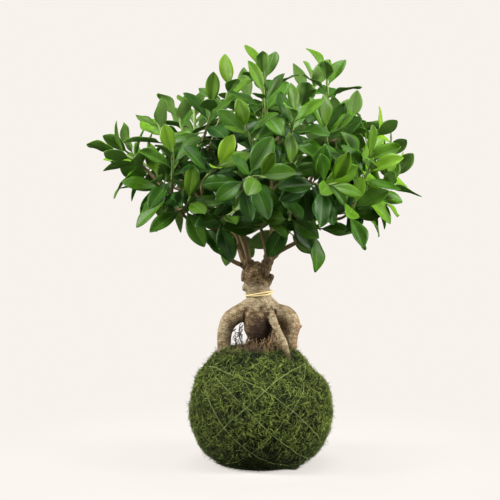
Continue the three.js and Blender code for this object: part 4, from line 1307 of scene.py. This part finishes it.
def is_clear(samples, shoot, placed, wood, ease):
    """Whether a leaf's points keep clear of the leaves near it and of all wood but its own twig, with the
    distances to other leaves multiplied by ease."""
    middle = samples[len(samples) // 2]
    near = np.linalg.norm(placed["middles"] - middle, axis=1) <= NEIGHBOUR_RANGE
    gaps = placed["samples"][near][:, :, None] - samples
    apart = np.where(placed["shoots"][near] == shoot, SIBLING_CLEARANCE, LEAF_CLEARANCE) * ease
    if np.any(np.einsum("nijk,nijk->nij", gaps, gaps) < apart[:, None, None] ** 2):
        return False
    near = (wood["shoots"] != shoot) & (np.linalg.norm(wood["points"] - middle, axis=1) < NEIGHBOUR_RANGE)
    gaps = wood["points"][near][:, None] - samples
    limit = wood["radii"][near] + WOOD_CLEARANCE
    return not np.any(np.einsum("ijk,ijk->ij", gaps, gaps) < limit[:, None] ** 2)


def place_leaf(shoot, number, order, placed, wood, ease=1.0):
    """The leaf at one step of the spiral, turned and tilted as little as it takes to be clear, or none."""
    draw = shoot["draw"]
    age = min(1, order / (shoot["count"] - 1))
    turn = shoot["phase"] + SPIRAL_TURN * order + SPIRAL_SPREAD * (next(draw) - 0.5)
    pitch = PITCH_YOUNG + (PITCH_OLD - PITCH_YOUNG) * age + PITCH_SPREAD * (next(draw) - 0.5)
    grown = YOUNGEST_SHARE + (1 - YOUNGEST_SHARE) * min(1, GROWING_RATE * age)
    length = LEAF_LENGTH * grown * np.interp(next(draw), [0, 1], LENGTH_RANGE)
    width = length * WIDTH_SHARE * np.interp(next(draw), [0, 1], WIDTH_RANGE)
    size = {"length": length, "width": width, "arch": np.interp(next(draw), [0, 1], ARCH_RANGE)}
    back = FIRST_LEAF + LEAF_STEP * order
    root = back_point(shoot, back)
    way = twig_way(shoot, min(1, 1 - back / shoot["chord"]))
    for lift in LIFTS:
        for swing in SWINGS:
            leaf = set_leaf(root, way, turn + swing, pitch + lift, age, size)
            if np.dot(leaf["along"], way) > math.cos(math.radians(PITCH_LEAST)):
                continue
            samples = leaf_samples(leaf)
            if is_clear(samples, number, placed, wood, ease):
                placed["samples"] = np.concatenate([placed["samples"], samples[None]])
                placed["middles"] = np.concatenate([placed["middles"], samples[None, len(samples) // 2]])
                placed["shoots"] = np.append(placed["shoots"], number)
                return {**leaf, "age": age}
    return None


def grow_crown():
    """Every shoot with its twig and its leaves, in the order in which the part's source sets them."""
    shoots = []
    share = np.linspace(0, 1, LIMB_SAMPLES)
    points, radii, owners = [], [], []
    for limb, (rows, twigs) in {"stem": (STEM, []), **CROWN}.items():
        points.append(limb_at(rows, share))
        radii.append(np.interp(share, np.linspace(0, 1, len(rows)), np.asarray(rows, float)[:, 3]))
        owners.append(np.full(LIMB_SAMPLES, NO_SHOOT))
        for index, (at, x, y, z, count, seed) in enumerate(twigs, 1):
            start, tip = limb_at(rows, at), np.array([x, y, z], float)
            chord = np.linalg.norm(tip - start)
            if at < 1:
                bend = (start + tip) / 2 - UP * TWIG_SAG * chord
            else:
                ends = spline_point(np.asarray(rows, float)[:, :3], np.array([1 - NUDGE, 1.0]))
                bend = start + unit(ends[1] - ends[0]) * TWIG_CARRY * chord
            draw = draws_from(seed)
            shoot = {"name": f"{limb}_shoot_{index}", "limb": limb, "curve": (start, bend, tip),
                     "chord": chord, "count": count, "draw": draw, "phase": 360 * next(draw)}
            points.append(twig_point(shoot, np.linspace(0, 1, TWIG_SAMPLES)))
            points.append(np.array([back_point(shoot, -BUD_LENGTH / 2), back_point(shoot, -BUD_LENGTH)]))
            radii.append(np.full(TWIG_SAMPLES + 2, TIP_RADIUS))
            owners.append(np.full(TWIG_SAMPLES + 2, len(shoots)))
            shoots.append(shoot)
    wood = {"points": np.concatenate(points), "radii": np.concatenate(radii),
            "shoots": np.concatenate(owners)}
    placed = {"samples": np.zeros((0, len(SAMPLE_T) * len(SAMPLE_V), 3)), "middles": np.zeros((0, 3)),
              "shoots": np.zeros(0, int)}
    for number, shoot in enumerate(shoots):
        leaves = (place_leaf(shoot, number, order, placed, wood) for order in range(shoot["count"]))
        shoot["leaves"] = [leaf for leaf in leaves if leaf]
    for number, shoot in enumerate(shoots):
        last = int((shoot["chord"] - BARE_FOOT - FIRST_LEAF) / LEAF_STEP)
        orders = range(shoot["count"], min(last, shoot["count"] + INNER_LEAVES))
        inner = (place_leaf(shoot, number, order, placed, wood, INNER_EASE) for order in orders
                 if back_point(shoot, FIRST_LEAF + LEAF_STEP * order)[2] > INNER_HEIGHT)
        shoot["leaves"] += [leaf for leaf in inner if leaf]
    return shoots


# Leaves and twigs

def leaf_rings(leaves, thickness, random):
    """Blades as rings of points: the under face from edge to edge and then the upper face back. A point is
    the leaf's root, plus its length along, less its arch times the square, plus half its width across; from
    a sunk midrib the halves rise, curl and wave towards their edges, and the whole blade twists a little.
    The stalk is round, and the midrib swells the under face."""
    each = (len(leaves), 1, 1)
    root, along, up, length, width, arch = (
        np.array([leaf[key] for leaf in leaves])[:, None, None]
        for key in ("root", "along", "up", "length", "width", "arch"))
    across = np.cross(along, up)
    t, v = LEAF_T[:, None], LEAF_V
    half = half_width(t) * width
    blade = smooth(PETIOLE_SHARE, BLADE_START, t)
    fold = LEAF_FOLD * (1 + 0.55 * random.normal(0, 1, each))
    curl = random.normal(-0.05, 0.12, each)
    wave = random.uniform(0, 0.045, each)
    phase = random.uniform(0, 2 * np.pi, (len(leaves), 2, 1))
    sway = random.normal(0, 0.05, each)
    twist = random.normal(0, 0.16, each)
    ripple = np.where(v < 0, np.sin(11 * t + phase[:, :1]), np.sin(11 * t + phase[:, 1:]))
    rise = half * (fold * np.abs(v) + curl * v ** 2) + length * wave * blade * ripple * np.abs(v) ** 3
    rise = rise * blade
    turn = twist * t ** 2
    flat = half * v
    sideways = flat * np.cos(turn) - rise * np.sin(turn) + sway * length * (t ** 2 - t)
    rise = rise * np.cos(turn) + flat * np.sin(turn) - length * arch * t ** 2
    middle = root + along * (length * t)[..., None] + across * sideways[..., None]
    stalk = STALK_RADIUS * (1 - blade) * np.sqrt(np.clip(1 - v ** 2, 0, 1))
    rib = 0.75 * (1 - t) * np.exp(-(v / 0.16) ** 2) * blade
    upper = rise + 0.5 * thickness * blade * (1 - 0.55 * np.exp(-(v / 0.11) ** 2)) + stalk
    lower = rise - 0.5 * thickness * blade - rib - stalk
    top, bottom = (middle + up * height[..., None] for height in (upper, lower))
    tips = root + along * length[..., None] - up * (length * arch)[..., None]
    return np.concatenate([bottom[:, :, ::-1], top], axis=2), tips[:, 0, 0]


def leaf_values(leaves, freshness, random):
    """For every point of the leaves: its place along and across the leaf, how old the leaf is, how light its
    green, which is drawn at random and has painted light added that rises towards the outside of the crown
    and falls again near its top, and whether the point is on the under face."""
    count, rings = len(leaves), len(LEAF_T)
    u = np.append(np.repeat(LEAF_T, 2 * len(LEAF_V)), 1.0)
    v = np.append(np.tile(np.concatenate([LEAF_V[::-1], LEAF_V]), rings), 0.0) * 0.5 + 0.5
    under = np.append(np.tile(np.repeat([1.0, 0.0], len(LEAF_V)), rings), 0.5)
    age = np.array([leaf["age"] for leaf in leaves])
    age = np.clip(1 - freshness * np.clip(1 - 2.2 * age, 0, 1) - 0.12 * np.clip(1 - 2 * age, 0, 1), 0, 1)
    tips = np.array([leaf["root"] + leaf["along"] * leaf["length"] for leaf in leaves])
    # Painted light: leaves towards the outside of the crown are lighter, those near its top darker
    outer = smooth(0.45, 1.0, np.linalg.norm((tips - CROWN_CENTRE) / [150, 240, 130], axis=1))
    high = smooth(320, 400, tips[:, 2])
    chance = np.clip(0.6 * random.random(count) + 0.5 * outer - 0.05 - 0.32 * high, 0, 1)
    values = {"age": np.repeat(age, len(u)), "chance": np.repeat(chance, len(u)),
              "under": np.tile(under, count)}
    return values, np.tile(np.stack([u, v], -1), (count, 1))


def twig_tubes(shoots):
    """Round twigs from inside their limb to the point of the bud, with a small swelling at every leaf."""
    rings, tips, ages = [], [], []
    end = -BUD_LENGTH * 0.97
    for shoot in shoots:
        chord = shoot["chord"]
        if chord > LEAFY_LENGTH:
            back = np.concatenate([np.linspace(chord, LEAFY_LENGTH, COARSE_STEPS, endpoint=False),
                                   np.linspace(LEAFY_LENGTH, end, TWIG_STEPS - COARSE_STEPS)])
        else:
            back = np.linspace(chord, end, TWIG_STEPS)
        path = np.array([back_point(shoot, one) for one in back])
        radius = TIP_RADIUS + (FOOT_RADIUS - TIP_RADIUS) * np.clip(back, 0, None) / chord
        bud = np.clip(-back / BUD_LENGTH, 0, 1)
        radius = radius * (1 - bud) ** 0.7 * (1 + 0.9 * bud * (1 - bud))
        joints = FIRST_LEAF + LEAF_STEP * np.arange(shoot["count"])
        radius = radius + 0.35 * np.exp(-((back[:, None] - joints) / 0.8) ** 2).sum(1)
        rings.append(path_rings(path, radius, TWIG_SIDES))
        tips.append(back_point(shoot, -BUD_LENGTH))
        ages.append(smooth(10, 60, np.append(back, -BUD_LENGTH)))
    return np.array(rings), np.array(tips), np.array(ages)


class KOKEDAMA_OT_foliage(bpy.types.Operator):
    """Set every leaf on its shoot, limb by limb, with its green twig and bud"""
    bl_idname = "kokedama.foliage"
    bl_label = "Leaves and twigs"

    def execute(self, context):
        leaf = settings(context, "leaf")
        blade = leaf_material(leaf)
        bark = twig_material(leaf, settings(context, "wood"))
        shoots = grow_crown()
        for number, limb in enumerate(CROWN):
            random = np.random.default_rng(LEAF_SEED + number)
            mine = [shoot for shoot in shoots if shoot["limb"] == limb]
            names = [shoot["name"] for shoot in mine]
            leaves = [one for shoot in mine for one in shoot["leaves"]]
            freshness = np.array([FLUSHING.get(shoot["name"], USUAL_FRESHNESS)
                                  for shoot in mine for _ in shoot["leaves"]])
            rings, tips = leaf_rings(leaves, leaf.thickness / MM, random)
            values, uv = leaf_values(leaves, freshness, random)
            faces = tube_faces(len(leaves), len(LEAF_T), 2 * len(LEAF_V))
            mesh = make_mesh(f"{limb}_leaves", tube_points(rings, tips), faces, values, uv)
            add_piece(mesh, blade, names)
            rings, tips, ages = twig_tubes(mine)
            add_piece(tube_mesh(f"{limb}_twigs", rings, tips, {"age": ages}), bark, names)
        return {"FINISHED"}


# Stage

def backdrop_material(stage):
    """A plain glow of the backdrop's colour."""
    paint = Paint("Backdrop")
    paint.surface((0.0, 0.0, 0.0), 1.0, Specular_IOR_Level=0.0, Emission_Strength=1.0,
                  Emission_Color=(*stage.backdrop_colour, 1.0))
    return paint.material


def floor_material(stage):
    """A plain pale floor that fades, with the distance from the plant, into the backdrop's glow."""
    paint = Paint("Floor")
    place = paint.place()
    away = paint.node("ShaderNodeVectorMath", {"operation": "LENGTH"}, {0: place}, output="Value")
    paint.surface(stage.floor_colour, 0.9, Specular_IOR_Level=0.0)
    glow = paint.tree.nodes.new("ShaderNodeEmission")
    glow.inputs["Color"].default_value = (*stage.backdrop_colour, 1.0)
    blend = paint.tree.nodes.new("ShaderNodeMixShader")
    near = paint.step(away, 25.0, 100.0) * 0.5 + paint.step(away, 0.0, 500.0) * 0.12
    paint.set(blend.inputs["Fac"], near + 0.4)
    paint.tree.links.new(paint.shader.outputs["BSDF"], blend.inputs[1])
    paint.tree.links.new(glow.outputs["Emission"], blend.inputs[2])
    paint.tree.links.new(blend.outputs["Shader"], paint.end.inputs["Surface"])
    return paint.material


def add_ground(name, profile, top, sides, material):
    """A turned surface round the plant, closed by a point on its axis. It takes no part in the lighting."""
    rings = lathe_rings(profile, sides)
    quads, _, fan = tube_faces(1, *rings.shape[:2])
    points = tube_points(rings[None], np.array([[0, 0, top]]))
    ground = add_object(name, make_mesh(name, points, [quads, fan]))
    ground.data.materials.append(material)
    for ray in HIDDEN_FROM:
        setattr(ground, "visible_" + ray, False)
    return ground


def aim_at(thing, place, aim):
    """Moves a lamp or camera to its place and turns it to look at the aim."""
    thing.location = place
    thing.rotation_euler = (Vector(aim) - Vector(place)).to_track_quat("-Z", "Y").to_euler()


def add_light(name, place, size, colour, power):
    """A round lamp that shines at the plant."""
    light = bpy.data.lights.new(name, "AREA")
    light.shape = "DISK"
    light.size = size
    light.energy = power
    light.color = colour
    aim_at(add_object(name, light), place, LIGHT_AIM)


class KOKEDAMA_OT_stage(bpy.types.Operator):
    """Lay a plain pale floor and backdrop, and set the camera and soft studio lights"""
    bl_idname = "kokedama.stage"
    bl_label = "Stage"

    def execute(self, context):
        stage = settings(context, "stage")
        scene = context.scene
        flat = [(radius, 0) for radius in FLOOR_RADII]
        floor = add_ground("floor", flat, 0, FLOOR_SIDES, floor_material(stage))
        angle = np.linspace(DOME_FOOT, np.pi / 2, DOME_STEPS, endpoint=False)
        dome = DOME_RADIUS * circle_at(angle)[:, :2]
        backdrop = add_ground("backdrop", dome, DOME_RADIUS, DOME_SIDES, backdrop_material(stage))

        scene.world = bpy.data.worlds.new("Studio")
        scene.world.use_nodes = True
        background = scene.world.node_tree.nodes["Background"]
        background.inputs["Color"].default_value = (*stage.backdrop_colour, 1.0)
        background.inputs["Strength"].default_value = stage.ambient
        scene.view_settings.view_transform = "Standard"
        for side, (place, size, colour) in LIGHTS.items():
            add_light(side + "_light", place, size, colour, getattr(stage, side + "_power"))

        camera = add_object("camera", bpy.data.cameras.new("camera"))
        camera.data.lens = CAMERA_LENS
        camera.data.clip_end = CLIP_END
        aim_at(camera, CAMERA_PLACE, CAMERA_AIM)
        scene.camera = camera
        return {"FINISHED"}


OPERATORS = [KOKEDAMA_OT_wood, KOKEDAMA_OT_soil, KOKEDAMA_OT_moss, KOKEDAMA_OT_bindings,
             KOKEDAMA_OT_foliage, KOKEDAMA_OT_stage]


class KOKEDAMA_PT_panel(bpy.types.Panel):
    """Lists the plant's pieces"""
    bl_idname = "KOKEDAMA_PT_panel"
    bl_label = "Kokedama"
    bl_space_type = "VIEW_3D"
    bl_region_type = "UI"
    bl_category = "Kokedama"

    def draw(self, context):
        for operator in OPERATORS:
            self.layout.operator(operator.bl_idname)
        for name in SETTINGS:
            group = settings(context, name)
            box = self.layout.box()
            box.label(text=name.capitalize())
            for key in group.bl_rna.properties.keys():
                if key not in ("rna_type", "name"):
                    box.prop(group, key)


CLASSES = [*SETTINGS.values(), *OPERATORS, KOKEDAMA_PT_panel]


def register():
    for kind in CLASSES:
        bpy.utils.register_class(kind)
    for name, kind in SETTINGS.items():
        setattr(bpy.types.Scene, "kokedama_" + name, PointerProperty(type=kind))


def unregister():
    for name in SETTINGS:
        delattr(bpy.types.Scene, "kokedama_" + name)
    for kind in reversed(CLASSES):
        bpy.utils.unregister_class(kind)


def main():
    """Makes the pieces and the stage."""
    register()
    for operator in OPERATORS:
        group, name = operator.bl_idname.split(".")
        getattr(getattr(bpy.ops, group), name)()


if __name__ == "__main__":
    main()
